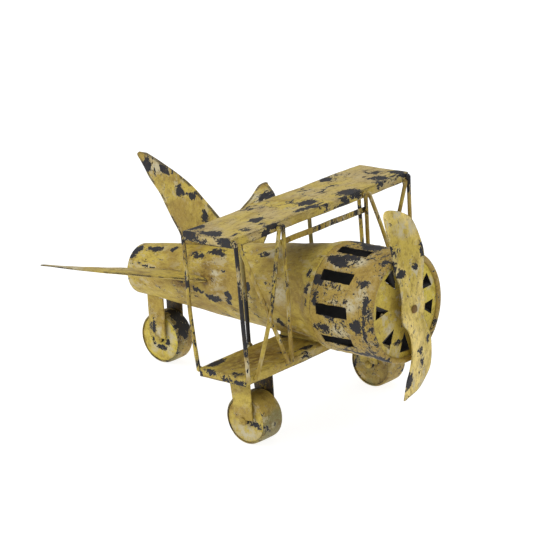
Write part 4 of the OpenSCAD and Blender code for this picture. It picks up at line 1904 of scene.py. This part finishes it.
@dataclass
class Wheel:
    """Tin wheel of a tread and two discs, in its fork.

    Attributes:
        gear: which wheel it is.
        radius: radius of the tread.
        width: width of the tread.
        leg_gap: gap between tread and fork.
        leg_sheet: thickness of the fork's metal.
        axle: radius of the axle.
        face: paint of the discs.
    """

    gear: Gear
    radius: float
    width: float
    face: Finish
    leg_gap: float = 2.5
    leg_sheet: float = 1.8
    axle: float = 2.6

    def node(self, part: str) -> str:
        """Name of one of the wheel's CAD nodes.

        Args:
            part: last part of the name.

        Returns:
            The name.
        """
        return f"{self.gear.value}_wheel_{part}"

    def build(self, shop: Workshop) -> None:
        """Builds the wheel and its fork.

        Args:
            shop: the workshop.
        """
        datum = wheel_datum(self.gear)
        self.tread(shop, datum)
        for place, turn in (("outer", 1), ("inner", -1)):
            self.disc(shop, datum, place, turn)
        half = self.width / 2 + self.leg_gap - 0.9
        bore = self.axle + 0.05
        end = [(half, bore), (half, 4.5), (half - 0.4, 4.9)]
        profile = [(-half, bore), *end, (-half + 0.4, 4.9), (-half, 4.5)]
        # the hub between the discs takes the near-black inside finish, painted shade inside the wheel
        shop.deliver(turned_ring("hub", profile, 40), self.node("hub"), datum, Finish.INSIDE)
        reach = self.width / 2 + self.leg_gap + self.leg_sheet
        head = [
            (reach + 0.02, 4.0), (reach + 0.7, 4.1), (reach + 1.5, 3.5), (reach + 2.0, 2.2),
            (reach + 2.1, 0.8),
        ]
        shaft = [(-x, r) for x, r in reversed(head)] + [(-reach, 2.6), (reach, 2.6)] + head
        axle = turned("axle", shaft, 40)
        for vertex in axle.data.vertices:
            if abs(vertex.co.x) > reach:
                vertex.co += 0.35 * noise.noise_vector(vertex.co * 0.3) * Vector((0, 1, 1)).length
        shop.deliver(axle, self.node("axle"), datum, Finish.FORK)
        for place in ("outer", "inner"):
            self.leg(shop, place)

    def tread(self, shop: Workshop, datum: Datum) -> None:
        """Builds the tread, beaten slightly out of round.

        Args:
            shop: the workshop.
            datum: frame of the wheel.
        """
        r, w, soft = self.radius - 0.3, self.width / 2, 2.2
        turns = [math.radians(15 * i) for i in range(7)]
        outer = [(w - soft + soft * math.sin(a), r - soft + soft * math.cos(a)) for a in turns]
        middle = [(x, r + 0.25 * (1 - (x / w) ** 2)) for x in (-0.6 * w, -0.3 * w, 0, 0.3 * w, 0.6 * w)]
        section = [(-x, q) for x, q in reversed(outer)] + middle + outer
        section += [(w, r - 2.4), (w - 1.2, r - 2.4), (w - 1.6, r - 1.4)]
        section += [(-w + 1.6, r - 1.4), (-w + 1.2, r - 2.4), (-w, r - 2.4)]
        tread = turned_ring("tread", section, 96)
        for vertex in tread.data.vertices:
            spoke = Vector((0, vertex.co.y, vertex.co.z))
            away = spoke.normalized()
            flat = 0.45 * noise.noise(away * 1.6 + Vector((self.radius, self.width, 0)))
            vertex.co += away * (min(0.0, flat) + 0.12 * noise.noise(vertex.co * 0.11))
        shop.deliver(tread, self.node("tread"), datum, Finish.TREAD)

    def disc(self, shop: Workshop, datum: Datum, place: str, turn: int) -> None:
        """Builds one side disc, dished round its hole.

        Args:
            shop: the workshop.
            datum: frame of the wheel.
            place: outer or inner.
            turn: 1 for the outer side, -1 for the inner.
        """
        rim = self.radius - 2.9
        level = self.width / 2 - 0.55
        profile = []
        for k in range(15):
            r = 5.1 + (rim - 5.1) * k / 14
            profile.append((level - 0.5 * math.exp(-((r - 9) / 4) ** 2) - 0.5 * (r / rim) ** 8, r))
        profile += [(x - 1, r) for x, r in reversed(profile)]
        disc = turned_ring("disc", [(turn * x, r) for x, r in profile], 96)
        face_outwards(disc)
        dent(disc, 0.3, 13, self.radius + turn)
        paint = Finish.TREAD if self.gear is Gear.LEFT and place == "inner" else self.face
        shop.deliver(disc, self.node(place + "_disc"), datum, paint)

    def outline(self) -> list[tuple[float, float]]:
        """Outline of a leg beside the axle, with a tongue that holds the axle.

        Returns:
            Places forward of the axle and over it, in millimetres.
        """
        tail = self.gear is Gear.TAIL
        top = 62 if tail else 44
        front_low, back_low = ((11.6, 3.0), (-12, 2.5)) if tail else ((13, 3.4), (-11, 1))
        front_top, back_top = (8, -16) if tail else (8.5, -20.5)
        turns = [math.radians(a) for a in range(24, -206, -18)]
        tongue = [(5.0 * math.cos(turn), 5.0 * math.sin(turn)) for turn in turns]
        return [(back_top, top), (front_top, top), front_low, *tongue, back_low]

    def leg(self, shop: Workshop, place: str) -> None:
        """Builds one side of the fork.

        Args:
            shop: the workshop.
            place: outer or inner.
        """
        node = f"{self.gear.value}_fork_{place}_leg"
        low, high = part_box(node)
        joint = next(j for j in frame["joints"] if j["child"] == f"{self.gear.value}_wheel")
        centre = Vector(joint["pos_m"]) / MM
        y_low, y_high = low.y / MM, high.y / MM
        rings = []
        for y in (y_low, y_high):
            ring = []
            for dx, dz in self.outline():
                x, z = centre.x + dx, centre.z + dz
                if dz > 20:
                    z = self.seat(x, high.z / MM)
                ring.append(Vector((x, y, z)))
            rings.append(ring)
        leg = swept("leg", rings)
        face_outwards(leg)
        reach = self.width / 2 + 10
        drill = turned("drill", [(-reach, self.axle), (reach, self.axle)], 32)
        drill.data.transform(Matrix.Translation(centre) @ Matrix.Rotation(math.radians(90), 4, "Z"))
        face_outwards(drill)
        modify(leg, "BOOLEAN", object=drill, operation="DIFFERENCE")
        bpy.data.objects.remove(drill)
        if self.gear is Gear.TAIL:
            cutter = Fuselage().envelope(0.1)
            cutter.data.transform(Matrix.Scale(1 / MM, 4) @ AIRFRAME.matrix)
            face_outwards(cutter)
            modify(leg, "BOOLEAN", object=cutter, operation="DIFFERENCE")
            bpy.data.objects.remove(cutter)
        modify(leg, "BEVEL", width=0.3, segments=2, limit_method="ANGLE", angle_limit=math.radians(50))
        # the far legs of the right main wheel and of the tail wheel take the near-black underside paint: undercoat
        # and painted shade
        dark = self.gear is not Gear.LEFT and place == "inner"
        shop.deliver(leg, node, GROUND, Finish.UNDERSIDE if dark else Finish.FORK, 30)

    def seat(self, x: float, top: float) -> float:
        """Height of a leg's top edge.

        Args:
            x: distance forward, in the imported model.
            top: highest point of the leg's CAD node.

        Returns:
            The height, under the sloping wing or inside the tube.
        """
        if self.gear is Gear.TAIL:
            return top
        low, _ = AIRFRAME.box("lower_wing_underside")
        ends = [AIRFRAME.matrix @ Vector((reach, 0, low.z)) / MM for reach in (0, 30)]
        slope = (ends[1].z - ends[0].z) / (ends[1].x - ends[0].x)
        return ends[0].z + slope * (x - ends[0].x) - 0.05


# ---------------------------------------------------------------- the studio


@dataclass
class Studio:
    """Plain white studio, seen from the toy's right front and a little above.

    Attributes:
        azimuth: angle of the camera round the toy, in degrees.
        elevation: angle of the camera over the toy, in degrees.
        roll: tilt of the picture, in degrees.
        distance: distance of the camera, in millimetres.
        lens: focal length of the camera, in millimetres.
        target: the point in the middle of the picture.
    """

    azimuth: float = 40.4
    elevation: float = 20.6
    roll: float = 0.4
    distance: float = 3227.5
    lens: float = 190.56
    target: tuple[float, float, float] = (3.5, 0.0, 144.9)

    def build(self) -> None:
        """Sets up camera, lights, floor and background."""
        self.camera()
        self.floor()
        self.lights()
        bpy.context.scene.view_settings.view_transform = "Standard"

    def camera(self) -> None:
        """Adds the camera."""
        az, el, roll = (math.radians(a) for a in (self.azimuth, self.elevation, self.roll))
        towards = Vector((math.sin(az) * math.cos(el), -math.cos(az) * math.cos(el), math.sin(el)))
        right = Vector((math.cos(az), math.sin(az), 0))
        up = towards.cross(right)
        side = math.cos(roll) * right + math.sin(roll) * up
        top = towards.cross(side)
        place = (Vector(self.target) + towards * self.distance) * MM
        turn = Matrix((side, top, towards)).transposed()
        bpy.ops.object.camera_add(location=place, rotation=turn.to_euler())
        camera = active()
        camera.data.lens = self.lens
        camera.data.sensor_width = 36
        camera.data.clip_end = 50
        bpy.context.scene.camera = camera

    def floor(self) -> None:
        """Adds the pale floor."""
        bpy.ops.mesh.primitive_plane_add(size=30)
        floor = active()
        floor.name = "studio_floor"
        paint = bpy.data.materials.new("studio_white")
        paint.use_nodes = True
        surface = paint.node_tree.nodes["Principled BSDF"]
        surface.inputs["Base Color"].default_value = (0.35, 0.35, 0.35, 1)
        surface.inputs["Roughness"].default_value = 0.9
        surface.inputs["Emission Color"].default_value = (1, 1, 1, 1)
        surface.inputs["Emission Strength"].default_value = 0.85
        floor.data.materials.append(paint)

    def lights(self) -> None:
        """Adds soft lamps and an even white background."""
        world = bpy.data.worlds.new("studio")
        bpy.context.scene.world = world
        world.use_nodes = True
        world.node_tree.nodes["Background"].inputs["Color"].default_value = (1, 1, 1, 1)
        world.node_tree.nodes["Background"].inputs["Strength"].default_value = 0.55
        for place, size, power in (
            ((-0.9, -1.7, 1.5), 1.3, 22), ((1.9, -0.4, 1.2), 1.4, 5), ((-0.1, 0.3, 2.2), 2.0, 16)
        ):
            bpy.ops.object.light_add(type="AREA", location=place)
            lamp = active()
            lamp.data.size = size
            lamp.data.energy = power
            aim = Vector((0, 0, 0.1)) - Vector(place)
            lamp.rotation_euler = aim.to_track_quat("-Z", "Y").to_euler()


# ---------------------------------------------------------------- putting it together


def main() -> None:
    """Builds the biplane's looks over its CAD frame."""
    logging.basicConfig(level=logging.INFO, format="%(name)s %(message)s")
    noise.seed_set(NOISE_SEED)
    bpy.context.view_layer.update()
    shop = Workshop()
    fuselage = Fuselage()
    fuselage.build(shop)
    Cowl().build(shop)
    Wing("upper_wing", Finish.UPPER_WING, 1.5, 17).build(shop)
    Wing("lower_wing", Finish.LOWER_WING, 0.8, 41).build(shop)
    Rigging().build(shop)
    Tail(fuselage).build(shop)
    Propeller().build(shop)
    for gear, radius, width, face in (
        (Gear.LEFT, 28, 30, Finish.WHEEL),
        (Gear.RIGHT, 28, 30, Finish.MAIN_WHEEL),
        (Gear.TAIL, 30, 24, Finish.WHEEL),
    ):
        Wheel(gear, radius, width, face).build(shop)
    Studio().build()
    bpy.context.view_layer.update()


if __name__ == "__main__":
    main()
